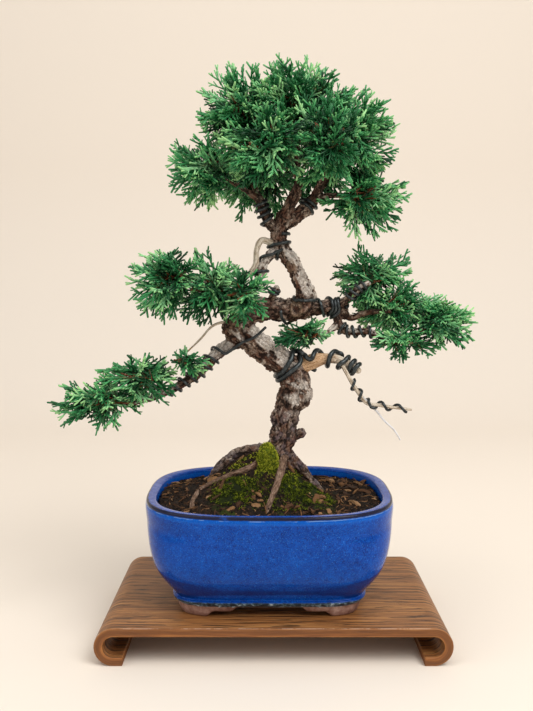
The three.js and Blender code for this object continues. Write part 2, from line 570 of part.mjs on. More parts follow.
// One flat spray: its stem bears slanted cordlets by turns on both sides, over its outer part
function spray(branch, base, tip, random) {
  const { thickness, halfStem, bare, pitch, teeth, tooth, spread } = SPRAY;
  const ahead = tip.clone().sub(base).normalize();
  const across = randomVector(random).cross(ahead).normalize();
  const frame = new THREE.Matrix4().makeBasis(ahead, across, ahead.clone().cross(across)).setPosition(base);
  const length = base.distanceTo(tip);
  const edge = [-1, 1].map((side) => {
    const points = [[0, side * halfStem]];
    for (let k = 0; k <= teeth; k++) {
      const along = length * (bare + pitch * (k + (side > 0 ? 0.45 : 0)));
      points.push([along, side * halfStem]);
      if (k < teeth) points.push([along + tooth, side * (halfStem + spread)]);
    }
    return points.map(([x, y]) => new THREE.Vector2(x, y));
  });
  const inPlace = (x, y) => new THREE.Vector3(x, y, 0).applyMatrix4(frame);
  const blade = [[inPlace(length * bare * 0.7, 0), tip, 0.9, 0.6]];
  for (const side of edge) {
    for (let k = 2; k < side.length; k += 2) {
      const [from, to] = [side[k - 1], side[k]];
      blade.push([inPlace(from.x + 1.5, from.y), inPlace(to.x, to.y), 1.2, 0.6]);
    }
  }
  const stalk = [base, tip, 0.8, 0.8];
  const isFree = isClear(branch, ...stalk) && blade.every((stretch) => isClear(`${branch} core`, ...stretch));
  if (!isFree) return null;
  [stalk, ...blade].forEach((stretch) => addObstacle(`${branch} spray`, ...stretch));
  const outline = new THREE.Shape([...edge[0], new THREE.Vector2(length, 0), ...edge[1].reverse()]);
  const plate = new THREE.ExtrudeGeometry(outline, { depth: thickness, bevelEnabled: false });
  return solid(plate.translate(0, 0, -thickness / 2).applyMatrix4(frame));
}

function leafyBranch(name, seed) {
  const { twig, centre, reach, sprays } = FOLIAGE[name];
  const random = stream(seed);
  const last = WOOD[twig].at(-1);
  const outward = framesAlong(WOOD[twig], 1).at(-1).tangent;
  const root = vector(last).addScaledVector(outward, GAP);
  const middle = vector(centre);
  const lead = root.clone().addScaledVector(outward, CORE.lead);
  const inward = middle.clone().sub(root).normalize();
  const far = middle.clone().addScaledVector(inward, CORE.overshoot * Math.min(...reach));
  const core = [
    [...root.toArray(), last[3]],
    [...lead.toArray(), last[3]],
    [...middle.toArray(), CORE.middle],
    [...far.toArray(), CORE.end],
  ];
  const [, inner, heart, outer] = framesAlong(core, 3);
  addChain(`${name} core`, framesAlong(core, 3));
  const parts = [limb(core, 4)];
  for (let i = 0; i < sprays; i++) {
    const [near, away, least] = i % 2 ? [inner, heart, 0.5] : [heart, outer, 0];
    const base = near.centre.clone().lerp(away.centre, THREE.MathUtils.lerp(least, 1, random()));
    let grown = null;
    for (let attempt = 0; attempt < AIM_TRIES && !grown; attempt++) {
      const direction = aim(i, sprays, seed).addScaledVector(randomVector(random), 0.3 + 0.15 * attempt);
      const offset = direction.normalize().multiply(vector(reach)).multiplyScalar(0.94 + 0.06 * random());
      const tip = middle.clone().add(offset);
      grown = spray(name, base, tip, random);
    }
    if (grown) parts.push(grown);
  }
  return largest(wasm.Manifold.union(parts));
}

// ---- Put together ----
const bonsai = new THREE.Group();

function place(name, body, look) {
  const [color, roughness, metalness] = COLOURS[look];
  const material = new THREE.MeshStandardMaterial({ color, roughness, metalness });
  const mesh = new THREE.Mesh(geometryOf(body), material);
  mesh.name = name;
  bonsai.add(mesh);
}

place("stand", stand(), "stand");
place("pot", pot(), "pot");
place("drain_mesh_left", drainMesh(-DRAIN_HOLE.x), "mesh");
place("drain_mesh_right", drainMesh(DRAIN_HOLE.x), "mesh");

for (const points of Object.values(WOOD)) addChain("wood", framesAlong(points, points.length - 1));
place("wood", wood(), "bark");

const fatWood = wood(GAP);
const meshRoom = [-DRAIN_HOLE.x, DRAIN_HOLE.x].map((x) => drainMesh(x, GAP));
const mossRoom = MOSS_PADS.map((pad) => mossPad(pad, GAP));
place("soil", largest(wasm.Manifold.difference([soil(), fatWood, ...mossRoom, ...meshRoom])), "soil");
MOSS_PADS.forEach((pad, i) => place(`moss_${i + 1}`, largest(mossPad(pad).subtract(fatWood)), "moss"));

Object.keys(WIRES).forEach((name) => place(name, wire(name), "wire"));
Object.keys(FOLIAGE).forEach((name, i) => place(name, leafyBranch(name, 11 + i), "foliage"));

// The origin is under the middle of the whole object's box
const box = new THREE.Box3().setFromObject(bonsai);
const middle = box.getCenter(new THREE.Vector3());
bonsai.position.set(-middle.x, -middle.y, 0);

export default bonsai;
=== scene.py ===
"""A trained juniper in a blue glazed pot on a bentwood stand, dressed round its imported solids.

Tables are in millimetres, +Z up, the tree's front towards -Y, with heights from the surface under the stand.
"""

import math

import bpy
import numpy as np
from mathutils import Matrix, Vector, noise


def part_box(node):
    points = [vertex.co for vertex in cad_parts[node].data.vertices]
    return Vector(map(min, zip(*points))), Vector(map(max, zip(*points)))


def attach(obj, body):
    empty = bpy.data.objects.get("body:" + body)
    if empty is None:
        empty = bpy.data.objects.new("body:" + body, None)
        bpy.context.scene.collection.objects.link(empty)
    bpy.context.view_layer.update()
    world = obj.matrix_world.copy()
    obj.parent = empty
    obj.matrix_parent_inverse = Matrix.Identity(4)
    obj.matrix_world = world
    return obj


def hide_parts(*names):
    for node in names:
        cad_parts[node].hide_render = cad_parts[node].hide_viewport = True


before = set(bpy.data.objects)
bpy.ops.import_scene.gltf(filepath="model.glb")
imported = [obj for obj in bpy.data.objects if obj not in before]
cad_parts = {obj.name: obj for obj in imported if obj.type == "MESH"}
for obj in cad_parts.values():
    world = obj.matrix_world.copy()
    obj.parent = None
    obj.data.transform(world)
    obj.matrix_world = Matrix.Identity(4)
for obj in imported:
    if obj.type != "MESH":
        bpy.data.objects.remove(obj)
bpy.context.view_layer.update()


# ---- View ----
# The tree's front, looked at a little from above through a long lens, as a plant is shown for sale. The
# eye is some 60 cm in front of the trunk, at the height of the twigs under the crown.
MM = 0.001
stand_low, stand_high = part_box("stand")
middle_x = (stand_low.x + stand_high.x) / 2 / MM  # the tables' zero, in the frame

focal_pixels = 814.85
picture_height = 711
eye_place = (-4.69, -590.0, 260.17)
eye_pitch = math.radians(90 - 5.693)

camera_data = bpy.data.cameras.new("camera")
camera_data.sensor_width = 36
camera_data.lens = camera_data.sensor_width * focal_pixels / picture_height
camera_data.clip_start = 0.01
camera_data.clip_end = 20


def put_in_scene(thing):
    bpy.context.scene.collection.objects.link(thing)
    return thing


camera = put_in_scene(bpy.data.objects.new("camera", camera_data))
camera.location = ((eye_place[0] + middle_x) * MM, eye_place[1] * MM, eye_place[2] * MM)
camera.rotation_euler = (eye_pitch, 0, 0)
bpy.context.scene.camera = camera


# ---- Display stand ----
# One sheet of walnut-faced plywood, steam bent: both ends are rolled under and the pot stands on the flat.
# The face veneer runs along the sheet and round the rolls. The sawn edge shows the plies, and its corners
# are rubbed pale.
def keep_at_points(mesh, key, values):
    """Keeps a number or a vector at each point of a mesh, for its finish or its nodes to read."""
    values = np.asarray(values, np.float32)
    kind, field = ("FLOAT", "value") if values.ndim == 1 else ("FLOAT_VECTOR", "vector")
    mesh.attributes.new(key, kind, "POINT").data.foreach_set(field, values.ravel())


def piece_from(name, points, faces, zero=middle_x, **attributes):
    """A smooth piece from points in the tables' millimetres, or about the frame's zero where it is 0."""
    placed = (np.asarray(points, float) + (zero, 0, 0)) * MM
    mesh = bpy.data.meshes.new(name)
    mesh.from_pydata(placed.tolist(), [], faces)
    for key, values in attributes.items():
        keep_at_points(mesh, key, values)
    mesh.shade_smooth()
    return put_in_scene(bpy.data.objects.new(name, mesh))


def dress(piece, finish, slot, *nodes):
    """Gives a finished piece its finish, unless its tree has, and its place in the part."""
    if finish is not None:
        piece.data.materials.clear()
        piece.data.materials.append(finish.material)
    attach(piece, "root")
    if nodes:
        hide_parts(*nodes)


def lofted(rings, capped=True):
    """Points and faces over a stack of rings, each turning left round the way that the stack grows."""
    count, around = rings.shape[:2]
    index = np.arange(count * around).reshape(count, around)
    beside = np.roll(index, -1, axis=1)
    faces = np.stack([index[:-1], beside[:-1], beside[1:], index[1:]], axis=-1).reshape(-1, 4).tolist()
    if capped:
        faces += [index[0][::-1].tolist(), index[-1].tolist()]
    return rings.reshape(-1, 3), faces


class Link:
    """A node's output, which can be added to, scaled and compared as a number is."""

    def __init__(self, graph, socket):
        self.graph = graph
        self.socket = socket

    def maths(self, operation, *others):
        return self.graph.node("ShaderNodeMath", {"operation": operation}, [self, *others])

    def __add__(self, other):
        return self.maths("ADD", other)

    __radd__ = __add__

    def __sub__(self, other):
        return self.maths("SUBTRACT", other)

    def __rsub__(self, other):
        return self.graph.node("ShaderNodeMath", {"operation": "SUBTRACT"}, [other, self])

    def __mul__(self, other):
        return self.maths("MULTIPLY", other)

    __rmul__ = __mul__

    def size(self):
        """The number without its sign."""
        return self.maths("ABSOLUTE")

    def above(self, low, high):
        """0 below low, 1 above high and smooth between."""
        settings = {"interpolation_type": "SMOOTHSTEP"}
        return self.graph.node("ShaderNodeMapRange", settings, [self, low, high, 0.0, 1.0])


def paint(code):
    """A colour written as it looks on a screen, such as #6b4a33."""
    shown = [int(code[i : i + 2], 16) / 255 for i in (1, 3, 5)]
    return [c / 12.92 if c <= 0.04045 else ((c + 0.055) / 1.055) ** 2.4 for c in shown] + [1.0]


class Graph:
    """A node tree that is written down as expressions."""

    def __init__(self, tree):
        self.tree = tree

    def node(self, kind, settings=None, inputs=(), output=0):
        made = self.tree.nodes.new(kind)
        for name, value in (settings or {}).items():
            if name == "stops":
                ramp = made.color_ramp
                while len(ramp.elements) < len(value):
                    ramp.elements.new(1.0)
                for element, (place, code) in zip(ramp.elements, value):
                    element.position = place
                    element.color = paint(code)
            else:
                setattr(made, name, value)
        for key, value in inputs.items() if isinstance(inputs, dict) else enumerate(inputs):
            self.join(value, made.inputs[key])
        return Link(self, made.outputs[output])

    def join(self, value, socket):
        if isinstance(value, Link):
            self.tree.links.new(value.socket, socket)
        elif value is not None:
            socket.default_value = value

    def combined(self, *parts):
        return self.node("ShaderNodeCombineXYZ", None, parts)


class Finish(Graph):
    """The material of one kind of surface."""

    CONSTANTS = {
        "roughness": "Roughness", "gloss": "Specular IOR Level", "metal": "Metallic",
        "coat": "Coat Weight", "coat_roughness": "Coat Roughness",
    }

    def __init__(self, name, **constants):
        self.material = bpy.data.materials.new(name)
        self.material.use_nodes = True
        super().__init__(self.material.node_tree)
        self.shader = self.tree.nodes["Principled BSDF"]
        for key, value in constants.items():
            self.shader.inputs[self.CONSTANTS[key]].default_value = value
        self.place = self.node("ShaderNodeTexCoord", output="Object")

    def set(self, socket, value):
        self.join(value, self.shader.inputs[socket])

    def number(self, name):
        return self.node("ShaderNodeAttribute", {"attribute_name": name}, output="Fac")

    def vector(self, name):
        return self.node("ShaderNodeAttribute", {"attribute_name": name}, output="Vector")

    def parts(self, vector):
        split = self.node("ShaderNodeSeparateXYZ", None, [vector])
        return [Link(self, output) for output in split.socket.node.outputs]

    def table_place(self):
        """The surface's x, y and z in the tables' millimetres."""
        x, y, z = [part * (1 / MM) for part in self.parts(self.place)]
        return x - middle_x, y, z

    def scaled(self, vector, x, y, z):
        return self.node("ShaderNodeVectorMath", {"operation": "MULTIPLY"}, [vector, (x, y, z)])

    def grain(self, vector, scale, detail=2.0, rough=0.5):
        """Smooth noise from 0 to 1, with scale features in a metre of vector."""
        inputs = {"Vector": vector, "Scale": scale, "Detail": detail, "Roughness": rough}
        return self.node("ShaderNodeTexNoise", None, inputs)

    def ramp(self, value, stops):
        return self.node("ShaderNodeValToRGB", {"stops": stops}, [value])

    def layered(self, colour, *layers):
        """A colour under others, each with the share of it that it hides."""
        for share, other in layers:
            one, other = [paint(c) if isinstance(c, str) else c for c in (colour, other)]
            colour = self.node("ShaderNodeMix", {"data_type": "RGBA"}, {0: share, 6: one, 7: other}, 2)
        return colour

    def bump(self, height, depth, strength=1.0):
        """Relief of depth metres where height goes from 0 to 1."""
        inputs = {"Strength": strength, "Distance": depth, "Height": height}
        self.set("Normal", self.node("ShaderNodeBump", None, inputs))


stand_width, stand_depth, stand_height = 240, 140, 26
sheet_thickness = 6
stand_lip = 6
lip_chamfer = 0.3
edge_radius = 0.8
edge_support = 1.1

roll_x = stand_width / 2 - stand_height / 2
roll_radius = (stand_height - sheet_thickness) / 2
roll_turn = np.radians(np.linspace(270, 90, 49))
facing_up, facing_down = np.pi / 2, -np.pi / 2


def rolled(x, turn):
    """The sheet's middle line round one end, as points of [x, height, the angle that its top faces]."""
    return [(x + roll_radius * math.cos(a), stand_height / 2 + roll_radius * math.sin(a), a) for a in turn]


flat_x = np.linspace(-roll_x, roll_x, 60)[1:-1]
lip_x = roll_x - stand_lip + np.array([0, lip_chamfer, 1.2])
lip_z = sheet_thickness / 2
sheet_line = [(-x, lip_z, facing_down) for x in lip_x] + rolled(-roll_x, roll_turn)
sheet_line += [(x, stand_height - lip_z, facing_up) for x in flat_x]
sheet_line += rolled(roll_x, np.pi - roll_turn[::-1]) + [(x, lip_z, facing_down) for x in lip_x[::-1]]
sheet_line = np.array(sheet_line)
run = np.concatenate([[0], np.cumsum(np.hypot(*np.diff(sheet_line[:, :2], axis=0).T))])


def rounded_oblong(half_a, half_b, radius, support):
    """An oblong's outline, turning left, with rounded corners and a point just past each corner's ends."""
    outline = []
    for quarter, (side_a, side_b) in enumerate([(1, 1), (-1, 1), (-1, -1), (1, -1)]):
        centre = np.array([side_a * (half_a - radius), side_b * (half_b - radius)])
        angles = np.radians(np.linspace(0, 90, 5) + 90 * quarter)
        arc = centre + radius * np.stack([np.cos(angles), np.sin(angles)], axis=1)
        before = np.array([math.sin(angles[0]), -math.cos(angles[0])]) * support
        after = np.array([-math.sin(angles[-1]), math.cos(angles[-1])]) * support
        outline += [arc[0] + before, *arc, arc[-1] + after]
    return np.array(outline)


section = rounded_oblong(sheet_thickness / 2, stand_depth / 2, edge_radius, edge_support)
shrink = np.ones(len(run))
shrink[[0, -1]] = 1 - lip_chamfer / (sheet_thickness / 2)
across = section[None, :, 0] * shrink[:, None]
along_y = -section[None, :, 1] * np.ones_like(across)
sheet_x = sheet_line[:, None, 0] + np.cos(sheet_line[:, None, 2]) * across
sheet_z = sheet_line[:, None, 1] + np.sin(sheet_line[:, None, 2]) * across
stand_points, stand_faces = lofted(np.stack([sheet_x, along_y, sheet_z], axis=-1))
sheet_place = np.stack([np.broadcast_to(run[:, None], across.shape), along_y, across], axis=-1) * MM
sawn = np.clip((np.abs(along_y) - (stand_depth / 2 - edge_radius)) / edge_radius, 0, 1)
sawn[[0, -1]] = 1
kept = {"sheet": sheet_place.reshape(-1, 3), "sawn": sawn.ravel()}
stand = piece_from("stand_sheet", stand_points, stand_faces, **kept)

walnut = Finish("walnut_veneer", roughness=0.5, gloss=0.35, coat=0.08, coat_roughness=0.3)
sheet = walnut.vector("sheet")
sheet_run, sheet_y, sheet_deep = walnut.parts(sheet)
swayed_y = sheet_y + (walnut.grain(sheet, 22.0, 2.0) - 0.5) * 0.004
grain_place = walnut.combined(sheet_run * 0.035, swayed_y, sheet_deep)
streaks = walnut.grain(grain_place, 430.0, 5.0, 0.65)
bands = walnut.grain(grain_place, 70.0, 2.0)
pore_place = walnut.combined(sheet_run * 0.07, swayed_y, sheet_deep)
pores = walnut.grain(pore_place, 560.0, 4.0, 0.6).above(0.54, 0.6)
face_colour = walnut.ramp(
    streaks * 0.82 + bands * 0.18,
    [(0.32, "#48290e"), (0.43, "#754825"), (0.53, "#946236"), (0.64, "#b17d48"), (0.78, "#c99a62")],
)
ply_streaks = walnut.grain(walnut.combined(sheet_run * 0.05, sheet_y, sheet_deep), 900.0, 4.0)
ply_colour = walnut.ramp(
    sheet_deep * 110.0 + 0.5 + (ply_streaks - 0.5) * 0.9,
    [(0.12, "#ac7138"), (0.3, "#875227"), (0.55, "#6c401e"), (0.75, "#825026"), (0.9, "#9c693b")],
)
sawn_share = walnut.number("sawn")
rubbed = (1.0 - (sawn_share - 0.45).size() * 2.4).above(0.2, 0.9) * sheet_deep.above(0.0, 0.002)
rub_noise = walnut.grain(sheet, 160.0, 4.0, 0.7).above(0.42, 0.6)
walnut.set("Base Color", walnut.layered(
    face_colour,
    (pores * 0.75, "#2b180a"),
    (sawn_share.above(0.3, 0.7), ply_colour),
    (rubbed * rub_noise * 0.8, "#d3b6a2"),
))
walnut.set("Roughness", 0.42 + streaks * 0.2)
walnut.bump(streaks * 0.6 - pores, 0.0002, 0.7)
dress(stand, walnut, "stand_wood", "stand")


# ---- Pot ----
# Stoneware, pressed in a mould as one piece with its foot ring and four stepped feet. It is dipped in a
# glossy cobalt glaze that breaks brown on the rim's edge and stops above the feet, which stay bare clay.
def through(points, per_span):
    """A smooth line through points of [x, y, z, and what goes with them], per_span steps to a gap."""
    points = np.asarray(points, float)
    places = points[:, :3]
    padded = np.vstack([2 * places[0] - places[1], places, 2 * places[-1] - places[-2]])
    share = np.linspace(0, 1, per_span, endpoint=False)[:, None]
    line = []
    for i in range(len(places) - 1):
        a, b, c, d = padded[i : i + 4]
        ab, bc, cd = [math.sqrt(np.linalg.norm(q - p)) for p, q in ((a, b), (b, c), (c, d))]
        leave = ((b - a) / ab - (c - a) / (ab + bc) + (c - b) / bc) * bc
        arrive = ((c - b) / bc - (d - b) / (bc + cd) + (d - c) / cd) * bc
        curve = b + leave * share + (3 * (c - b) - 2 * leave - arrive) * share**2
        curve = curve + (2 * (b - c) + leave + arrive) * share**3
        kept = points[i, 3:] + (points[i + 1, 3:] - points[i, 3:]) * share
        line.append(np.hstack([curve, kept]))
    return np.vstack([*line, points[-1:]])


pot_centre_x = -2.6
pot_around = 216
full_inset_from = 40  # the half-width from which a level keeps its whole inset
plan_heights, plan_powers, plan_insets = (12, 62), (6, 3), (12, 15)  # its plan low down and at the rim
turns = np.linspace(0, 2 * np.pi, pot_around, endpoint=False)


def pot_outline(height):
    """The pot's plan at a height over the stand, 1 wide and 1 deep: its corners soften towards the rim."""
    power = np.interp(height, plan_heights, plan_powers)
    reach_out = (np.abs(np.cos(turns)) ** power + np.abs(np.sin(turns)) ** power) ** (-1 / power)
    return np.cos(turns) * reach_out, np.sin(turns) * reach_out


def pot_ring(half_width, height, level=None):
    """One level of the pot, at a height or at one that a function gives for each x and y."""
    level = height if level is None else level
    inset = np.interp(level, plan_heights, plan_insets)
    half_depth = half_width - inset * min(1, half_width / full_inset_from)
    outline_x, outline_y = pot_outline(level)
    x = pot_centre_x + half_width * outline_x
    y = half_depth * outline_y
    z = stand_height + (height(x, y) if callable(height) else np.full(pot_around, float(height)))
    return np.stack([x, y, z], axis=1)


def smooth_profile(points, per_span):
    """A profile of [half-width, height] with rounded curves through its points."""
    return through([(r, 0, z) for r, z in points], per_span)[:, [0, 2]]


foot_line = [(0.4, 7), (62, 7), (65, 7.6), (66.9, 9.3)]
bead_line = [(66.9, 9.3), (67.9, 10.5), (68.5, 11.6), (68.3, 12.5), (67.3, 13.3), (67.8, 14.4)]
belly_line = [
    (67.8, 14.4), (70, 17.6), (74.6, 23.4), (79.9, 31), (84.4, 42), (87.1, 54), (88.8, 66), (89.1, 72),
    (88.6, 74.6),
]
rim_line = [(88.6, 74.6), (88.5, 75.7), (87.9, 76.5), (87, 76.8), (84.1, 76.6), (82, 76), (81.2, 74.8)]
inside_line = [(81.2, 74.8), (80.8, 60), (78.4, 46), (73.2, 33), (64, 20.6), (54, 15), (0.4, 15)]
smooth_parts = [smooth_profile(*part)[:-1] for part in ((bead_line, 3), (belly_line, 5), (rim_line, 3))]
pot_profile = np.vstack([foot_line[:-1], *smooth_parts, smooth_profile(inside_line, 3)])
pot = piece_from("pot_body", *lofted(np.stack([pot_ring(r, z) for r, z in pot_profile])))

front_gap = {"wide": 43, "narrow": 23}
side_gap = {"wide": 29, "narrow": 15}
gap_step = 3.6
inside_base = 7.7


def gap_height(distance, wide, narrow):
    """How high the foot ring is cut away at a distance from the middle of a side."""
    outer = np.interp(distance, [wide - 4, wide - 2.6, wide - 1, wide], [gap_step, 2.6, 0.5, 0])
    inner = np.interp(distance, [narrow, narrow + 1, narrow + 4], [inside_base, 5.4, gap_step])
    return np.where(distance < narrow + 4, inner, outer)


foot_x, foot_y = pot_outline(0)


def foot_bottom(x, y):
    """The foot ring's underside: two gaps in its long sides and two in its short ones."""
    on_front = np.abs(foot_y) > np.abs(foot_x) * 0.98
    front, side = gap_height(np.abs(x - pot_centre_x), **front_gap), gap_height(np.abs(y), **side_gap)
    return np.where(on_front, front, side)


def rounded_up(step):
    return lambda x, y: np.minimum(foot_bottom(x, y) + step, inside_base + 0.35)


foot_profile = [
    (53.8, 8.4), (53.8, rounded_up(0.6)), (54.4, rounded_up(0)), (62.2, rounded_up(0)),
    (63.1, rounded_up(0.3)), (63.6, rounded_up(1)),
    (65, lambda x, y: np.maximum(foot_bottom(x, y), 4.4) + 0.4), (65.5, 8.4),
]
foot_rings = np.stack([pot_ring(r, z, 0) for r, z in foot_profile])
foot_points, foot_faces = lofted(np.concatenate([foot_rings, foot_rings[:1]]), capped=False)
foot_count = len(foot_profile) * pot_around
foot_faces = [[i % foot_count for i in face] for face in foot_faces]
foot = piece_from("foot_ring", foot_points[:foot_count], foot_faces)

drain_radius, drain_x = 8, 30
drain_turns = np.linspace(0, 2 * np.pi, 40, endpoint=False)


def drain_bore(x):
    circle = np.stack([x + drain_radius * np.cos(drain_turns), drain_radius * np.sin(drain_turns)], axis=1)
    levels = [stand_height + 2, stand_height + 17]
    rings = [np.column_stack([circle, np.full(len(circle), z)]) for z in levels]
    return piece_from("drain_bore", *lofted(np.stack(rings)))


def cut(piece, other, operation):
    """Joins another piece to this one, or cuts it away."""
    step = piece.modifiers.new("cut", "BOOLEAN")
    step.object = other
    step.operation = operation
    step.solver = "MANIFOLD"


def settle(piece, *helpers):
    """Makes what the modifiers show the piece's own mesh, and removes them and the helper pieces."""
    graph = bpy.context.evaluated_depsgraph_get()
    mesh = bpy.data.meshes.new_from_object(piece.evaluated_get(graph))
    piece.modifiers.clear()
    piece.data = mesh
    for helper in helpers:
        bpy.data.objects.remove(helper)


bores = [drain_bore(side * drain_x) for side in (-1, 1)]
cut(pot, foot, "UNION")
for bore in bores:
    cut(pot, bore, "DIFFERENCE")
settle(pot, foot, *bores)


def coordinates(mesh):
    flat = np.empty(len(mesh.vertices) * 3, np.float32)
    mesh.vertices.foreach_get("co", flat)
    return flat.reshape(-1, 3).astype(float)


def outward_normals(mesh):
    flat = np.empty(len(mesh.vertices) * 3, np.float32)
    mesh.vertex_normals.foreach_get("vector", flat)
    return flat.reshape(-1, 3).astype(float)


def swell(mesh, distances):
    """Moves each point along its normal by a distance in millimetres."""
    moved = coordinates(mesh) + outward_normals(mesh) * np.asarray(distances)[:, None] * MM
    mesh.vertices.foreach_set("co", moved.astype(np.float32).ravel())
    mesh.update()


def lumps(places, size):
    """Smooth noise from -1 to 1 at points in metres, with features of size millimetres."""
    scale = 1 / (size * MM)
    return np.array([noise.noise(Vector(p * scale)) for p in places])


glaze_wave = 0.12
swell(pot.data, glaze_wave * lumps(coordinates(pot.data), 22) - glaze_wave / 2)
pot.data.shade_smooth()
slope = outward_normals(pot.data)
# How far each point faces down, for the painted shade under the belly
keep_at_points(pot.data, "turned_under", 0.25 * np.abs(slope[:, 0]) - slope[:, 2])

glaze = Finish("cobalt_glaze", roughness=0.16, gloss=0.14, coat=0.06, coat_roughness=0.05)
pot_x, pot_y, pot_z = glaze.table_place()
height = pot_z - stand_height
fleck = glaze.grain(glaze.place, 1000.0, 3.0, 0.75)
cloud = glaze.grain(glaze.place, 45.0, 3.0)
mottle = glaze.grain(glaze.place, 260.0, 3.0, 0.6)
deep_blue = glaze.ramp(
    fleck * 0.5 + cloud * 0.2 + mottle * 0.3,
    [(0.3, "#011d60"), (0.43, "#02388e"), (0.54, "#0447a6"), (0.64, "#0857b8"), (0.74, "#1a70ca")],
)
dark_fleck = glaze.grain(glaze.place, 1050.0, 2.0, 0.6).above(0.55, 0.65)
pale_fleck = glaze.grain(glaze.scaled(glaze.place, -1.0, 1.0, 1.0), 1250.0, 2.0, 0.6).above(0.58, 0.7)
# Painted shade: the glaze is darker towards the bottom and where the belly turns under
lower_shade = 1.0 - (height + cloud * 8.0).above(13.0, 30.0)
underside_shade = glaze.number("turned_under").above(0.555, 0.6)
thin_glaze = height.above(70.5, 72.0) * (1.0 - height.above(74.0, 74.6))


def between(value, low, high, soft):
    """Where a value lies from low to high, with soft ends."""
    return value.above(low - soft, low) * (1.0 - value.above(high, high + soft))


rim_half, rim_inset, rim_power = belly_line[-1][0], plan_insets[1], plan_powers[1]
wide = (pot_x - pot_centre_x).size()
deep = pot_y.size() * (rim_half / (rim_half - rim_inset))
reach = (wide.maths("POWER", rim_power) + deep.maths("POWER", rim_power)).maths("POWER", 1 / rim_power)
outer_edge = reach.above(86.7, 87.3)
edge_height = height + (mottle - 0.5) * 0.8
edge_line = edge_height.above(74.2, 74.8) * (1.0 - edge_height.above(76.5, 77.0)) * outer_edge
edge_line = edge_line * glaze.grain(glaze.place, 60.0, 3.0).above(0.18, 0.4)
# Painted highlight: a thin pale line just under the dark line on the rim's outer edge
edge_highlight_noise = glaze.grain(glaze.place, 90.0, 3.0, 0.6).above(0.42, 0.56)
edge_highlight = between(edge_height, 73.8, 74.1, 0.2) * edge_highlight_noise * outer_edge
# Painted reflection: a lavender sheen on the rim's top, strongest towards its left and right ends
rim_reflection = (height + (mottle - 0.5) * 1.6).above(74.4, 76.2) * (wide.above(50.0, 84.0) * 0.6 + 0.06)
rim_reflection_colour = glaze.ramp(mottle * 0.5 + cloud * 0.5, [(0.35, "#0f3488"), (0.5, "#2a4f9c"), (0.62, "#5a70b0")])
band_noise = glaze.grain(glaze.place, 300.0, 4.0, 0.7)
band_share = 1.0 - (height + (band_noise - 0.5) * 2.5).above(11.4, 12.4)
band_colour = glaze.ramp(
    band_noise, [(0.3, "#131a24"), (0.48, "#2b3a45"), (0.58, "#64808f"), (0.66, "#c4d6de")],
)
clay_noise = glaze.grain(glaze.place, 140.0, 5.0, 0.7)
clay_share = 1.0 - (height + (band_noise - 0.5) * 1.6).above(7.6, 8.4)
clay_colour = glaze.ramp(clay_noise, [(0.3, "#6d4c41"), (0.5, "#977468"), (0.7, "#b8998c")])
glaze.set("Base Color", glaze.layered(
    deep_blue,
    (dark_fleck * 0.5, "#02184e"),
    (pale_fleck * 0.4, "#3a8ee0"),
    (lower_shade * 0.2 + underside_shade * 0.6, "#011650"),
    (thin_glaze * 0.35, "#1669cc"),
    (rim_reflection, rim_reflection_colour),
    (edge_line * 0.92, "#1b1512"),
    (edge_highlight * 0.5, "#8aa6bd"),
    (band_share, band_colour),
    (clay_share, clay_colour),
))
glaze.set("Roughness", 0.14 + clay_share * 0.66 + band_share * (1.0 - clay_share) * 0.2)
glaze.set("Coat Weight", 0.06 - clay_share * 0.06)
glaze.bump(fleck * 0.15 + clay_noise * clay_share, 0.0003, 0.5)
dress(pot, glaze, "glaze", "pot")


# ---- Drain meshes ----
# Squares of black moulded plastic mesh, laid over the drain holes before the pot is filled. They are
# flat cut sheet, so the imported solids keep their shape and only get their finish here.
mesh_plastic = Finish("black_mesh_plastic", roughness=0.55)
moulding = mesh_plastic.grain(mesh_plastic.place, 900.0, 3.0)
mesh_plastic.set("Base Color", mesh_plastic.ramp(moulding, [(0.3, "#101010"), (0.7, "#232323")]))
mesh_plastic.set("Roughness", 0.5 + moulding * 0.2)
mesh_plastic.bump(moulding, 0.0001, 0.4)
for side in ("left", "right"):
    drain_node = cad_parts[f"drain_mesh_{side}"]
    drain_node.data.materials.clear()
    drain_node.data.materials.append(mesh_plastic.material)


# ---- Soil ----
# Dark sifted potting soil, heaped up round the foot of the trunk, with crumbs, split bark chips and dead
# rootlets lying on it. It was poured in round the roots and settled by watering.
soil_level = 70.5
mound = {"x": -6, "y": 3, "height": 33, "left": 42, "right": 33, "depth": 31}
soil_reach = 80.0


def soil_top(x, y):
    wide = np.where(x < mound["x"], mound["left"], mound["right"])
    fall = ((x - mound["x"]) / wide) ** 2 + ((y - mound["y"]) / mound["depth"]) ** 2
    wrinkle = 0.7 * np.sin(0.45 * x + 0.8) * np.cos(0.5 * y - 0.3)
    return stand_height + soil_level + mound["height"] * np.exp(-fall) + wrinkle


def crumbled(ring):
    """A level of the soil's top, with the relief of its crumbs."""
    x, y = ring[:, 0], ring[:, 1]
    z = soil_top(x, y)
    places = np.stack([x, y, z], axis=1) * MM
    relief = 0.9 * lumps(places, 5) + 0.55 * lumps(places + 0.3, 2.2) + 0.35 * lumps(places + 0.7, 1.1)
    return np.stack([x, y, z + relief], axis=1)


top_radii = np.linspace(soil_reach - 0.3, 0.6, 96)
top_rings = np.stack([crumbled(pot_ring(r, soil_level)) for r in top_radii])
wall_radii = [(0.6, 15.4), (53.4, 15.4), (69.4, 28.4), (77.4, 46.4), (79.6, 60), (79.9, soil_level - 3)]
wall_rings = np.stack([pot_ring(r, z) for r, z in wall_radii])
soil = piece_from("soil_bed", *lofted(np.concatenate([wall_rings, top_rings])))
soil_surface = piece_from("soil_surface", *lofted(top_rings, capped=False))

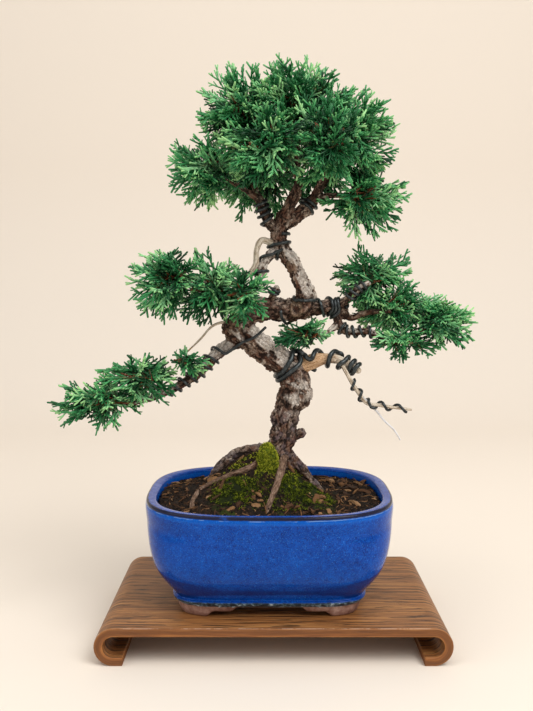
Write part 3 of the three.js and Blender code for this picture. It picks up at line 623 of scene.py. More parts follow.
loam = Finish("loam", roughness=0.95, gloss=0.2)
clods = loam.grain(loam.place, 420.0, 5.0, 0.75)
damp = loam.grain(loam.place, 60.0, 3.0)
loam_colour = loam.ramp(
    clods * 0.75 + damp * 0.25,
    [(0.32, "#0a0705"), (0.48, "#19120d"), (0.6, "#2e2118"), (0.72, "#4c3827")],
)
loam_x, loam_y, _ = loam.table_place()
green_bloom = loam.grain(loam.place, 75.0, 4.0).above(0.52, 0.62)
front_slope = loam_x.above(-50, -30) * (1.0 - loam_x.above(35, 55)) * (1.0 - loam_y.above(-12, 4))
loam.set("Base Color", loam.layered(loam_colour, (green_bloom * front_slope * 0.8, "#2f3a0e")))
loam.bump(clods, 0.0012, 0.9)
dress(soil, loam, "soil", "soil")


def hidden_collection(name, pieces):
    """A collection that no view layer shows, for shapes that are only repeated."""
    collection = bpy.data.collections.new(name)
    for piece in pieces:
        bpy.context.scene.collection.objects.unlink(piece)
        collection.objects.link(piece)
    return collection


def new_tree(name, **sockets):
    """A new Geometry Nodes tree as a graph, and a link from each of its named inputs."""
    tree = bpy.data.node_groups.new(name, "GeometryNodeTree")
    for socket_name, kind in sockets.items():
        tree.interface.new_socket(socket_name, in_out="INPUT", socket_type="NodeSocket" + kind)
    tree.interface.new_socket("geometry", in_out="OUTPUT", socket_type="NodeSocketGeometry")
    graph = Graph(tree)
    start = tree.nodes.new("NodeGroupInput")
    return graph, {socket.name: Link(graph, socket) for socket in start.outputs if socket.name}


def set_shapes(graph, given, points, placing):
    """Ends a tree: one of the given shapes at each point, made real and given its finish."""
    shapes = {"Collection": given["shapes"], "Separate Children": True, "Reset Children": True}
    picked = graph.node("GeometryNodeCollectionInfo", None, shapes, "Instances")
    placed = {"Points": points, "Instance": picked, "Pick Instance": True, **placing}
    instances = graph.node("GeometryNodeInstanceOnPoints", None, placed, "Instances")
    real = graph.node("GeometryNodeRealizeInstances", None, {"Geometry": instances})
    finished = graph.node("GeometryNodeSetMaterial", None, {"Geometry": real, "Material": given["finish"]})
    end = graph.tree.nodes.new("NodeGroupOutput")
    graph.join(finished, end.inputs[0])
    return graph.tree


def strewn_tree():
    """Strews turned and resized copies of a collection's shapes over a surface, each with its own tone."""
    graph, given = new_tree(
        "strewn", geometry="Geometry", shapes="Collection", density="Float", seed="Int", least_size="Float",
        most_size="Float", tilt="Float", finish="Material",
    )
    seed, tilt = given["seed"], given["tilt"]
    spread = {"Mesh": given["geometry"], "Density": given["density"], "Seed": seed}
    points = graph.node("GeometryNodeDistributePointsOnFaces", None, spread, "Points")
    facing = Link(graph, points.socket.node.outputs["Rotation"])
    tone = graph.node("FunctionNodeRandomValue", None, {"Seed": seed}, 1)
    named = {"Geometry": points, "Name": "tone", "Value": tone}
    toned = graph.node("GeometryNodeStoreNamedAttribute", None, named, "Geometry")
    least = graph.combined(tilt * -1.0, tilt * -1.0, -math.pi)
    turn = {"Min": least, "Max": graph.combined(tilt, tilt, math.pi), "Seed": seed + 1.0}
    random_turn = graph.node("FunctionNodeRandomValue", {"data_type": "FLOAT_VECTOR"}, turn, 0)
    rotate = {"Rotation": facing, "Rotate By": random_turn}
    turned = graph.node("FunctionNodeRotateRotation", {"rotation_space": "LOCAL"}, rotate)
    grow = {2: given["least_size"], 3: given["most_size"], "Seed": seed + 2.0}
    size = graph.node("FunctionNodeRandomValue", None, grow, 1)
    return set_shapes(graph, given, toned, {"Rotation": turned, "Scale": size})


def put_through(piece, tree, **inputs):
    """Puts a piece through a Geometry Nodes tree with these inputs, and keeps the outcome as its mesh."""
    modifier = piece.modifiers.new(tree.name, "NODES")
    modifier.node_group = tree
    for item in tree.interface.items_tree:
        if item.in_out == "INPUT" and item.name in inputs:
            modifier[item.identifier] = inputs[item.name]
    settle(piece)
    piece.data.name = piece.name


strewn = strewn_tree()


def strew(name, surface, shapes, density, seed, sizes, tilt, finish):
    """A piece of its own made of shapes strewn over a surface, density to the square millimetre."""
    piece = put_in_scene(surface.copy())
    piece.name = name
    put_through(
        piece, strewn, shapes=shapes, density=density * 1e6, seed=seed, least_size=sizes[0],
        most_size=sizes[1], tilt=tilt, finish=finish.material,
    )
    return piece


def pebble(name, seed, squash):
    """A crumb of soil: a rough ball of 20 faces, 1 mm across."""
    random = np.random.default_rng(seed)
    golden = (1 + 5**0.5) / 2
    corners = [(0, a, b * golden) for a in (-1, 1) for b in (-1, 1)]
    corners = np.array(corners + [p[1:] + p[:1] for p in corners] + [p[2:] + p[:2] for p in corners])
    corners = corners / np.linalg.norm(corners[0]) * 0.5 * random.uniform(0.75, 1.2, (12, 1))
    faces = []
    for i in range(12):
        for j in range(i + 1, 12):
            for k in range(j + 1, 12):
                trio = corners[[i, j, k]] / np.linalg.norm(corners[[i, j, k]], axis=1)[:, None]
                if all(trio[a] @ trio[b] > 0.3 for a, b in ((0, 1), (1, 2), (0, 2))):
                    faces.append([i, j, k] if np.linalg.det(trio) > 0 else [i, k, j])
    return piece_from(name, corners * (1, 1, squash), faces, zero=0)


def splinter(name, seed, length, width, thick):
    """A split chip of bark or a rootlet: a bent bar with torn ends."""
    random = np.random.default_rng(seed)
    section = np.array([[0, 1, 1], [0, -1, 1], [0, -1, -1], [0, 1, -1]])
    sideways, up = random.uniform(-0.12, 0.12, 2) * length
    rings = []
    for step in np.linspace(-0.5, 0.5, 5):
        torn = 0.55 if abs(step) == 0.5 else random.uniform(0.8, 1.1)
        corner = section * (1, width / 2 * torn, thick / 2) + random.uniform(-0.12, 0.12, (4, 3)) * width
        middle = (step * length, sideways * 4 * step**2, thick * 0.3 + abs(up) * (1 - 4 * step**2))
        rings.append(corner + middle)
    return piece_from(name, *lofted(np.array(rings)), zero=0)


chip_sizes = [(5.5, 2.4, 0.8), (4.2, 1.6, 0.7), (7, 2.8, 0.9), (3.2, 2.2, 0.8), (6.5, 1.3, 0.7)]
rootlet_sizes = [(length, 0.55, 0.5) for length in (9, 6, 12)]
crumb_shapes = hidden_collection("crumbs", [pebble(f"crumb_{i}", 20 + i, 0.8) for i in range(4)])
chip_shapes = hidden_collection(
    "chips", [splinter(f"chip_{i}", 1 + i, *size) for i, size in enumerate(chip_sizes)]
)
rootlet_shapes = hidden_collection(
    "rootlets", [splinter(f"rootlet_{i}", 40 + i, *size) for i, size in enumerate(rootlet_sizes)]
)

crumb_finish = Finish("soil_crumb", roughness=0.95, gloss=0.2)
crumb_finish.set("Base Color", crumb_finish.ramp(
    crumb_finish.number("tone") * 0.7 + crumb_finish.grain(crumb_finish.place, 900.0) * 0.3,
    [(0.1, "#0b0806"), (0.5, "#1f1610"), (0.8, "#3c2b1f"), (0.95, "#5a4330")],
))
crumb_finish.bump(crumb_finish.grain(crumb_finish.place, 1500.0, 3.0), 0.0003, 0.8)
bark_chip = Finish("bark_chip", roughness=0.85, gloss=0.25)
chip_fibre = bark_chip.grain(bark_chip.scaled(bark_chip.place, 1.0, 1.0, 2.5), 700.0, 4.0, 0.7)
bark_chip.set("Base Color", bark_chip.ramp(
    bark_chip.number("tone") * 0.6 + chip_fibre * 0.4,
    [(0.15, "#22160e"), (0.4, "#49301f"), (0.6, "#6c4a2d"), (0.78, "#8c6846"), (0.92, "#ab9274")],
))
bark_chip.bump(chip_fibre, 0.0004, 0.8)

litter = {  # shapes, how many to the square millimetre, seed, least and most size, tilt and finish
    "soil_crumbs": (crumb_shapes, 0.16, 3, (0.7, 2.3), 3.0, crumb_finish),
    "bark_chips": (chip_shapes, 0.012, 8, (0.35, 1.3), 0.6, bark_chip),
    "big_bark_chips": (chip_shapes, 0.0016, 22, (1.3, 1.9), 0.45, bark_chip),
    "dead_rootlets": (rootlet_shapes, 0.016, 14, (0.4, 1.5), 0.35, bark_chip),
}
for name, strewing in litter.items():
    lying = strew(name, soil_surface, *strewing)
    lying.data.shade_flat()
    dress(lying, None, "soil", "soil")
bpy.data.objects.remove(soil_surface)


# ---- Moss ----
# Low cushions of living moss that have spread over the shaded mound between the roots, and one that climbs
# the foot of the trunk. They are rooted in the soil and never planted.
moss_pads = {  # x, y, half-width, half-depth and rise
    "moss_1": (-3.2, -10, 7.5, 7, 13), "moss_2": (24, -21, 19, 14, 1.8), "moss_3": (-28, -26, 17, 11, 1.8),
}
pad_turns = np.linspace(0, 2 * np.pi, 72, endpoint=False)


def pad_ring(pad, share, height, ragged):
    x, y, half_wide, half_deep, _ = pad
    px = x + half_wide * share * np.cos(pad_turns) * ragged
    py = y + half_deep * share * np.sin(pad_turns) * ragged
    return np.stack([px, py, soil_top(px, py) + height], axis=1)


def moss_pad(name, pad):
    """A low mat with a ragged edge and a bumpy top."""
    edge = np.array([noise.noise(Vector((2.2 * math.cos(a), 2.2 * math.sin(a), pad[0]))) for a in pad_turns])
    ragged = 1 + 0.28 * edge
    rings = [pad_ring(pad, 0.1, -1, ragged), pad_ring(pad, 0.95, -1, ragged)]
    for share in np.linspace(1, 0.03, 22):
        ring = pad_ring(pad, share, pad[4] * math.sqrt(1 - share**2) - 0.4, ragged)
        ring[:, 2] += 0.8 * lumps(ring * MM, 3.5) * min(1, 3 * (1 - share)) + 0.3 * lumps(ring * MM, 1.2)
        rings.append(ring)
    return piece_from(name, *lofted(np.array(rings)))


def moss_tuft(name, seed):
    """One shoot of moss: a short stem with slim leaves that spread from it, each a three-sided spike."""
    random = np.random.default_rng(seed)
    points, faces = [], []
    for k in range(6):
        turn = k * 2.4 + random.uniform(-0.3, 0.3)
        lean = random.uniform(0.25, 0.95) if k else 0.05
        base = np.array([math.cos(turn), math.sin(turn), 0]) * 0.08 + (0, 0, 0.15)
        tip = np.array([math.cos(turn) * math.sin(lean), math.sin(turn) * math.sin(lean), math.cos(lean)])
        tip = base + tip * random.uniform(0.6, 1.0)
        along = (tip - base) / np.linalg.norm(tip - base)
        side = np.cross(along, (0.3, 0.2, 1.0))
        side = side / np.linalg.norm(side) * 0.11
        other = np.cross(along, side)
        a = len(points)
        points += [base + side, base - 0.5 * side + 0.87 * other, base - 0.5 * side - 0.87 * other, tip]
        faces += [[a, a + 1, a + 3], [a + 1, a + 2, a + 3], [a + 2, a, a + 3], [a + 2, a + 1, a]]
    return piece_from(name, points, faces, zero=0)


def table_points(piece):
    """A piece's points in the tables' millimetres."""
    return coordinates(piece.data) / MM - (middle_x, 0, 0)


def patchy(piece, size, edge):
    """A copy of a piece with only the faces where smooth noise lies over an edge."""
    points = coordinates(piece.data)
    faces = [list(face.vertices) for face in piece.data.polygons]
    levels = lumps([points[face].mean(axis=0) for face in faces], size)
    chosen = [face for face, level in zip(faces, levels) if level > edge]
    return piece_from(piece.name + "_patches", table_points(piece), chosen)


tuft_shapes = hidden_collection("tufts", [moss_tuft(f"tuft_{i}", 60 + i) for i in range(4)])

moss_green = Finish("living_moss", roughness=0.9, gloss=0.2)
moss_patch = moss_green.grain(moss_green.place, 130.0, 3.0, 0.6)
moss_fine = moss_green.grain(moss_green.place, 900.0, 3.0, 0.7)
sunlit = moss_green.table_place()[2].above(112, 124)
moss_green.set("Base Color", moss_green.ramp(
    moss_green.number("tone") * 0.4 + moss_patch * 0.4 + moss_fine * 0.2 + sunlit * 0.24 - 0.08,
    [(0.22, "#161d05"), (0.4, "#39460b"), (0.56, "#6f7c17"), (0.74, "#c0c23c")],
))
moss_green.bump(moss_fine, 0.0005, 0.8)
whole, patches = -1, -0.12  # where a pad bears shoots: all over, or only in patches
for name, pad in moss_pads.items():
    mat = moss_pad(name + "_mat", pad)
    bearing = patchy(mat, 5, whole if name == "moss_1" else patches)
    tufts = strew(name + "_tufts", bearing, tuft_shapes, 1.3, 31, (0.8, 2.1), 0.6, moss_green)
    bpy.data.objects.remove(bearing)
    dress(mat, moss_green, "moss", name)
    dress(tufts, None, "moss", name)

film_area = (-1, -22, 47, 25, 0.6)  # young moss grows in patches between and past the pads
film_rings = np.array([pad_ring(film_area, share, 0.2, 1.0) for share in np.linspace(1, 0.03, 40)])
film = piece_from("moss_film", *lofted(film_rings, capped=False))
film_patches = patchy(film, 6, -0.05)
young_moss = strew("young_moss", film_patches, tuft_shapes, 0.8, 47, (0.4, 1.8), 0.7, moss_green)
dress(young_moss, None, "soil", "soil")
for helper in (film, film_patches):
    bpy.data.objects.remove(helper)


# ---- Roots, trunk, branches and deadwood ----
# One living juniper, bent to and fro as it was grown: flaking grey-brown bark over red-brown inner bark,
# pale where it has weathered, and bare tan wood where limbs have died back. The weathered paleness is laid
# only where the bark faces the key light, so it is partly painted light. It is one piece that grew.
wood_limbs = {
    "trunk": [
      [2, 4, 102, 9], [2.5, 1, 119, 11.4], [4.2, 0, 130, 10.4], [7.8, 0, 142, 9.6], [10, 0, 157, 9.6],
      [13.5, 0, 170, 10.4], [15.8, -0.5, 184, 10.6], [12, -1, 193, 9.9], [-3.6, -3, 203.5, 9.2],
      [-14, -4, 212.5, 9.2], [-22, -4, 220, 9.5], [-23, -2, 228, 9.4], [-14, 2, 233.8, 8.8],
      [-1, 4, 234.6, 8.4], [12, 3, 234.2, 8.2], [21, 1, 236.5, 7.8], [23.6, 0, 243, 6.8],
      [19.4, -2, 256, 5.9], [13, -2, 269, 5.6], [5.4, 0, 280, 6.1], [4.2, 0, 288, 5.8], [8, 0, 301, 5.6],
    ],
    "burl": [[17, -1, 178, 5], [21, -2, 174, 8], [20.5, -2, 170, 7.6], [15, -1, 165, 5]],
    "low_stub": [[12, 0, 141.5, 5], [17.4, -0.6, 143, 3.8], [20.6, -1, 144.4, 3.9]],
    "knee_stub": [[-20, -4, 214, 8], [-28, -6, 219.5, 8.2], [-31, -6.5, 222.5, 6.2]],
    "bar_stub": [[-1, 3, 240, 3.4], [0.5, -1, 247, 2.4], [2.6, -2, 250.5, 2.2]],
    "root_left": [
      [5, 2, 127, 7], [-7, 5, 129.6, 5.2], [-24.5, 8, 127.6, 4.4], [-37, 10, 119.4, 3.9],
      [-45, 11, 109, 3.5], [-49, 11, 99, 2.8],
    ],
    "root_front_left": [
      [1, -1, 129, 4], [-8, -8, 125.4, 2.8], [-17, -12, 121, 2.3], [-35, -10.5, 113.6, 2],
      [-52, -10, 104.6, 1.9], [-56.5, -20, 100.6, 1.8], [-57, -34, 98, 1.7], [-57.5, -41, 94, 1.5],
    ],
    "root_front": [
      [6.5, -2, 134, 5], [7, -9, 125, 3.4], [5, -17.5, 117, 2.7], [2, -25.5, 110.4, 2.4],
      [-1, -33.5, 104.8, 2.2], [-4, -44, 99, 2], [-4.5, -50, 94, 1.8],
    ],
    "root_right": [
      [8, 0, 131, 5.6], [19, -1, 120.6, 3.9], [27, -3, 111.4, 2.9], [35, -5, 102.6, 2.2], [41, -6, 96, 1.7],
    ],
    "root_back": [
      [6, 4, 129, 6], [4, 16, 120.6, 3.8], [1, 27, 112, 2.9], [-2, 37, 103.4, 2.5], [-3, 45, 95, 2],
    ],
    "stem_a": [
      [6.5, 0, 297, 5.4], [11.3, -2, 308.5, 4.6], [16.2, -4, 318, 4], [18.3, -5, 328, 3.3],
      [14.7, -5, 334, 2.6],
    ],
    "stem_b": [
      [8, 0, 296, 5.4], [19, 4, 303.4, 5.2], [24.6, 7, 308.6, 4.8], [30.5, 9, 316, 4.1], [36, 10, 325, 3],
    ],
    "crown_branch": [[3, 0, 291, 4.4], [-3.6, -2, 297.5, 3.7], [-7.2, -4, 305.5, 3.4], [-9.5, -6, 313, 2.9]],
    "twig_top": [[16.5, -5, 330, 2.8], [17, -5, 345, 2.1], [15, -3.5, 360, 1.6]],
    "twig_top_left": [[15, -5, 333, 2.4], [3, -4, 343, 2], [-9, -4, 353, 1.6]],
    "twig_front": [[15, -5, 332.5, 2.3], [7, -13, 337, 1.9], [1, -22, 340.5, 1.5]],
    "twig_front_right": [[30, 8.5, 315.5, 3], [34, -6, 326, 2.1], [35, -20, 336, 1.5]],
    "twig_right": [[35.5, 10, 324, 2.8], [43, 6, 335, 2.1], [49.5, 1, 344, 1.6]],
    "twig_low_right": [[30, 8.5, 315, 3], [42, 5, 316.5, 2.1], [53, 2, 316.5, 1.6]],
    "twig_back_right": [[35, 10, 323, 2.8], [37, 19, 333, 2], [36, 28, 342, 1.5]],
    "twig_left": [[-9.2, -5.6, 312, 2.9], [-20, -5, 320, 2.1], [-32, -3, 327, 1.6]],
    "twig_back_left": [[-9, -5.4, 311.5, 2.9], [-13, 8, 322, 2.1], [-17, 22, 334, 1.6]],
    "dead_loop": [
      [4, 0, 281, 4], [-3.4, -2, 283.4, 2.3], [-8.5, -4, 284.2, 2.2], [-11.6, -6, 278, 2.1],
      [-12.6, -7, 267, 2], [-19, -9, 258.6, 1.9], [-29, -11, 254.6, 1.8], [-43, -16, 254, 1.6],
      [-57, -19, 254, 1.4],
    ],
    "wired_twig": [
      [3, 0, 279, 4.6], [-6, -5, 268, 2.9], [-9.5, -8, 258, 2.7], [-14.5, -10, 250.5, 2.5],
      [-24, -12, 246.4, 2.1], [-33, -13, 247, 1.7],
    ],
    "twig_knee": [[-15, 0, 237, 3], [-17, -12, 242, 2], [-19, -21, 244.6, 1.5]],
    "low_branch": [
      [-20, -4, 214, 7], [-31, -6, 209.5, 4.7], [-43, -10, 201, 4.3], [-52, -13, 191.5, 3.9],
      [-61, -15.4, 185.2, 3.3], [-72, -18, 178.8, 2.7], [-84, -20, 173.4, 2.2], [-97, -22.4, 170, 1.7],
    ],
    "low_twig_up": [[-76, -18.6, 177, 2.2], [-83, -19, 181, 1.8], [-89, -19.6, 185, 1.4]],
    "low_twig_inner": [[-54, -13.4, 189.6, 2.6], [-57, -17, 193.6, 1.7], [-59.4, -19.6, 196.4, 1.3]],
    "dead_branch": [
      [13, 0, 188, 8], [22, -0.6, 194.6, 6.3], [32, -3, 198.7, 4.8], [41, -5, 200, 3.7],
      [48, -7, 198.8, 3], [55.4, -8, 195.2, 2.7], [61, -9, 191.4, 2.5],
    ],
    "dead_hair": [
      [-23, -5, 227, 2], [-34, -9, 226.5, 1.1], [-43, -10.5, 223.6, 0.9], [-52, -11, 214, 0.75],
      [-62, -12, 204.4, 0.55],
    ],
    "dead_twist": [
      [44, -6, 199.6, 2], [49, -10.4, 196, 1.6], [52.3, -12.6, 190.4, 1.5], [57, -13, 182, 1.4],
      [61.7, -13, 175, 1.4], [66.8, -14, 168.6, 1.3], [75.8, -15, 167.2, 1.3], [86, -16, 165.7, 1.1],
      [98, -17, 164.4, 0.9],
    ],
    "dead_whip": [
      [62, -13, 174.4, 1.2], [73.8, -14, 163, 0.75], [79, -15, 156.7, 0.7], [86.7, -16, 149.2, 0.65],
      [90.7, -17, 142.8, 0.5],
    ],
    "right_branch": [[18, 1, 235.4, 7.4], [33.5, 3, 236.2, 5.4], [42.7, 4, 236.8, 5], [50.5, 5, 234.6, 4.4]],
    "right_twig_up": [[46.5, 4.4, 236, 4], [54.3, -2, 243.4, 2.6], [61, -6, 250, 2.4], [68, -5, 253.6, 2]],
    "right_twig_low": [
      [47, 4.4, 235, 4], [47.4, 3, 226, 3.2], [51.7, 2, 219.6, 2.9], [59, 1, 218.6, 2.6],
      [68, -1, 219, 2.4], [78, -3, 216, 2.2], [90, -5, 214.6, 1.9], [102, -4.4, 217.4, 1.5],
    ],
    "right_twig_mid": [
      [49, 5, 233.4, 4], [57, 5.4, 228.6, 2.6], [66, 4, 232, 2.3], [76, 2.6, 233.4, 1.9], [85, 2, 233.4, 1.6],
    ],
    "right_twig_under": [[76, -2.6, 216.6, 2.2], [82, -7, 213.6, 1.7], [87, -9, 211.6, 1.4]],
    "fringe_twig": [[47.4, 3, 224.6, 2.8], [40, 0, 218.4, 1.9], [31, -2.6, 216.4, 1.5]],
}
dead_limbs = {"dead_branch", "dead_twist", "dead_whip", "dead_hair", "dead_loop"}
limb_step = 0.8  # at most, between places along a limb


def turned_frames(line):
    """The direction of a line at each of its points, and two directions square to it that don't spin."""
    ahead = np.gradient(line[:, :3], axis=0)
    ahead /= np.linalg.norm(ahead, axis=1)[:, None]
    side = np.array([0.0, 1.0, 0.0]) - ahead[0] * ahead[0][1]
    sides = []
    for direction in ahead:
        side = side - direction * (side @ direction)
        side = side / np.linalg.norm(side)
        sides.append(side)
    sides = np.array(sides)
    return ahead, sides, np.cross(ahead, sides)


def tube(line, around, round_ends=True):
    """Rings of points round a line of [x, y, z, radius], with rounded ends."""
    ahead, side, other = turned_frames(line)
    turn = np.linspace(0, 2 * np.pi, around, endpoint=False)
    places, radii, shift = line[:, :3], line[:, 3], np.zeros(len(line))
    order = np.arange(len(line))
    if round_ends:
        cap = np.radians([15, 40, 65])
        order = np.concatenate([[0] * 3, order, [len(line) - 1] * 3])
        radii = radii[order].copy()
        shift = np.zeros(len(order))
        radii[:3] *= np.cos(cap[::-1])
        radii[-3:] *= np.cos(cap)
        shift[:3] = -line[0, 3] * np.sin(cap[::-1])
        shift[-3:] = line[-1, 3] * np.sin(cap)
    middle = places[order] + ahead[order] * shift[:, None]
    cosine, sine = np.cos(turn)[:, None], np.sin(turn)[:, None]
    ring = side[order][:, None] * cosine + other[order][:, None] * sine
    return middle[:, None] + ring * radii[:, None, None]


def finely(points):
    longest = np.linalg.norm(np.diff(np.array(points)[:, :3], axis=0), axis=1).max()
    return through(points, max(3, math.ceil(longest / limb_step)))


def fluted(line, rings):
    """Makes a limb's outline uneven: long flutes that wind round it slowly, and swellings."""
    turn = np.linspace(0, 2 * np.pi, rings.shape[1], endpoint=False)
    middle = rings.mean(axis=1, keepdims=True)
    away = rings - middle
    share = np.clip(np.linalg.norm(away, axis=2).max() / 6, 0, 1)
    along = np.linspace(0, 1, len(rings))[:, None] * len(line) * limb_step
    flute = 0.07 * np.sin(3 * turn + along * 0.05) + 0.05 * np.sin(5 * turn - along * 0.09)
    return middle + away * (1 + share * (flute + 0.06 * np.sin(along * 0.35)))[:, :, None]


def join_lofts(name, ring_sets, **kept):
    points, faces = [], []
    first = 0
    for rings in ring_sets:
        ring_points, ring_faces = lofted(rings)
        points.append(ring_points)
        faces += [[i + first for i in face] for face in ring_faces]
        first += len(ring_points)
    return piece_from(name, np.vstack(points), faces, **kept)


limb_lines = {name: finely(points) for name, points in wood_limbs.items()}
thin_dead = ("dead_twist", "dead_whip", "dead_hair")
dead_ends = join_lofts("dead_ends", [tube(limb_lines[name], 10) for name in thin_dead])
thick_limbs = [line for name, line in limb_lines.items() if name not in thin_dead]
wood_rings = [fluted(line, tube(line, 28 if line[:, 3].max() > 3 else 14)) for line in thick_limbs]
wood = join_lofts("tree_wood", wood_rings)
grown = wood.modifiers.new("grown", "REMESH")
grown.mode = "VOXEL"
grown.voxel_size = 0.75 * MM
settle(wood)

sample_keys = ("place", "radius", "run", "ahead", "side", "other", "dead", "root", "silvered")
limb_samples = []
for number, (name, line) in enumerate(limb_lines.items()):
    run_along = np.concatenate([[0], np.cumsum(np.linalg.norm(np.diff(line[:, :3], axis=0), axis=1))])
    shares = (name in dead_limbs, name.startswith("root_f"), name == "dead_whip")
    kind = [np.full(len(line), float(share)) for share in shares]
    limb = (line[:, :3], line[:, 3], run_along + 41 * number, *turned_frames(line), *kind)
    limb_samples.append([values[::2] for values in limb])
samples = {key: np.concatenate(values) for key, values in zip(sample_keys, zip(*limb_samples))}


def nearest_samples(points):
    """For each point, the place along the limbs whose bark it lies nearest to."""
    nearest = []
    for start in range(0, len(points), 3000):
        away = points[start : start + 3000, None] - samples["place"][None]
        nearest.append((np.linalg.norm(away, axis=2) - samples["radius"]).argmin(axis=1))
    return np.concatenate(nearest)


# Where branches were cut off: the middle, and the half-width and half-height of the healed oval
scars = [((16.4, -7, 235), (3.6, 5.2)), ((12.6, -6.5, 266), (2.6, 3.4)), ((-27, -14, 222), (3.2, 3.2))]
plate_size = (6.4, 3.6, 3.6)  # of a flake of bark, along its limb and round it
noise.seed_set(5)  # the noise that sways the flakes has a random start without it


def flake_relief(place):
    """How high the bark stands at a place along its limb, and a number that its flake has to itself."""
    warp = noise.noise_vector(Vector(place) / 3.0)
    swayed = Vector(place / plate_size) + 0.5 * warp
    (first, second, *_), (site, *_) = noise.voronoi(swayed)
    crack = min(1.0, (second - first) * 3.0)
    plate = noise.cell(site * 5.3)
    lifted = 0.4 * (swayed - site).x
    rough = noise.fractal(Vector(place * (0.35, 0.6, 0.6)), 0.8, 2.1, 4)
    return crack * (0.55 + 0.35 * plate + lifted) + 0.5 * rough, plate


def barked(piece):
    """Gives wood the relief of its bark or fibres, and keeps at each point what its finish needs."""
    points = table_points(piece)
    near = nearest_samples(points)
    here = {key: values[near] for key, values in samples.items()}
    offset = points - here["place"]
    along_limb = np.stack([(offset * here[axis]).sum(axis=1) for axis in ("ahead", "side", "other")], axis=1)
    along_limb[:, 0] += here["run"]
    # How squarely each point faces the key light, for the painted light on the bark's lit side
    exposed = np.clip(outward_normals(piece.data) @ (0.45, -0.3, 0.84), 0, 1)
    thick = np.clip((here["radius"] - 1.2) / 6.0, 0, 1)
    relief, plate = np.array([flake_relief(place) for place in along_limb]).T
    fibre = np.array([noise.noise(Vector(p)) for p in along_limb * (0.16, 1.1, 1.1)])
    callus = np.zeros(len(points))
    for place, (half_wide, half_high) in scars:
        distance = np.linalg.norm((points - place) / (half_wide, 1.6 * half_wide, half_high), axis=1)
        distance = distance * (1 + 0.16 * lumps(points * MM, 2.4))
        callus = np.maximum(callus, np.exp(-(((distance - 1) / 0.3) ** 2)))
        relief = np.where(distance < 0.85, 0.1 + 0.25 * relief, relief)
    bark_depth = (0.2 + 1.5 * thick) * (1 - here["dead"]) * (1 - 0.6 * here["root"])
    swell(piece.data, bark_depth * (relief + 0.6 * callus - 0.5) + (0.1 + 0.2 * thick) * fibre)
    kept = {"bark_place": along_limb * MM, "relief": relief, "plate": plate, "callus": callus}
    kept.update(exposed=exposed, dead=here["dead"], root=here["root"], silvered=here["silvered"])
    for key, values in kept.items():
        keep_at_points(piece.data, key, values)
    piece.data.shade_smooth()


barked(wood)
barked(dead_ends)

bark = Finish("flaking_bark", roughness=0.88, gloss=0.25)
limb_place = bark.vector("bark_place")
bark_x, _, bark_z = bark.table_place()
bark_relief = bark.number("relief")
bark_fibre = bark.grain(bark.scaled(limb_place, 0.35, 1.0, 1.0), 750.0, 4.0, 0.7)
speckle = bark.grain(bark.place, 1100.0, 3.0, 0.7)
wander = bark.node("ShaderNodeTexNoise", None, {"Vector": bark.place, "Scale": 260.0}, "Color")
wander = bark.scaled(wander, 0.004, 0.004, 0.004)
flake_place = bark.node("ShaderNodeVectorMath", None, [bark.scaled(limb_place, 0.6, 1.0, 1.0), wander])
flake = {"Vector": flake_place, "Scale": 340.0}
flake_tone = bark.parts(bark.node("ShaderNodeTexVoronoi", None, flake, "Color"))[0]
flake_edge = bark.node("ShaderNodeTexVoronoi", {"feature": "DISTANCE_TO_EDGE"}, flake, "Distance")
flake_shade = flake_tone * 0.12 + bark.number("plate") * 0.08
bark_colour = bark.ramp(
    bark_fibre * 0.42 + speckle * 0.32 + bark_relief * 0.1 + flake_shade,
    [
        (0.32, "#2f2019"), (0.42, "#574136"), (0.5, "#7a6354"), (0.58, "#9a8676"), (0.68, "#c0b2a5"),
        (0.8, "#e0d9d0"),
    ],
)
weathered = between(bark_z, 163, 181, 6) + between(bark_z, 197, 221, 6) + between(bark_z, 247, 276, 8)
# Pale weathered bark, laid only where the bark faces the key light: real bleaching and painted light together
bleached_and_lit = bark.grain(limb_place, 85.0, 3.0, 0.6).above(0.42, 0.5) * bark.number("exposed").above(0.02, 0.4)
bleached_and_lit = bleached_and_lit * (0.12 + weathered * 0.88)
bleached_and_lit_colour = bark.ramp(
    bark_fibre * 0.5 + speckle * 0.5, [(0.36, "#8d8075"), (0.48, "#c3b8ad"), (0.62, "#eae3db")],
)
pits = bark.grain(bark.scaled(limb_place, 0.7, 1.0, 1.0), 420.0, 2.0).above(0.58, 0.66)
pits = pits * bark_relief.above(0.1, 0.6)
red_patch = bark.grain(bark.scaled(limb_place, 0.6, 1.0, 1.0), 190.0, 3.0, 0.6).above(0.48, 0.6)
slate = (1.0 - bark_z.above(150, 170)) * bark.grain(limb_place, 160.0, 2.0).above(0.45, 0.6)
# Near-black in the bark's cracks and low places: their own dark colour with painted shade
cracks_dark_and_shade = 1.0 - (bark_relief + (speckle - 0.5) * 0.5).above(0.0, 0.32)
root_colour = bark.ramp(
    bark_fibre, [(0.34, "#3a281f"), (0.48, "#69503f"), (0.58, "#8a6f5c"), (0.7, "#a8917d")],
)
dead_fibre = bark.grain(bark.scaled(limb_place, 0.12, 1.0, 1.0), 1300.0, 4.0, 0.7)
dead_colour = bark.ramp(
    dead_fibre, [(0.32, "#6a5849"), (0.42, "#a8957f"), (0.52, "#d2c4b0"), (0.68, "#ece4d8")],
)
stub_heart = between(bark_z, 188, 206, 4) * (1.0 - bark_x.above(34, 50))
heart_colour = bark.ramp(
    dead_fibre * 0.6 + speckle * 0.4, [(0.34, "#5b3a22"), (0.45, "#b5875c"), (0.6, "#dcb992")],
)
silver = bark.number("silvered") * 0.9
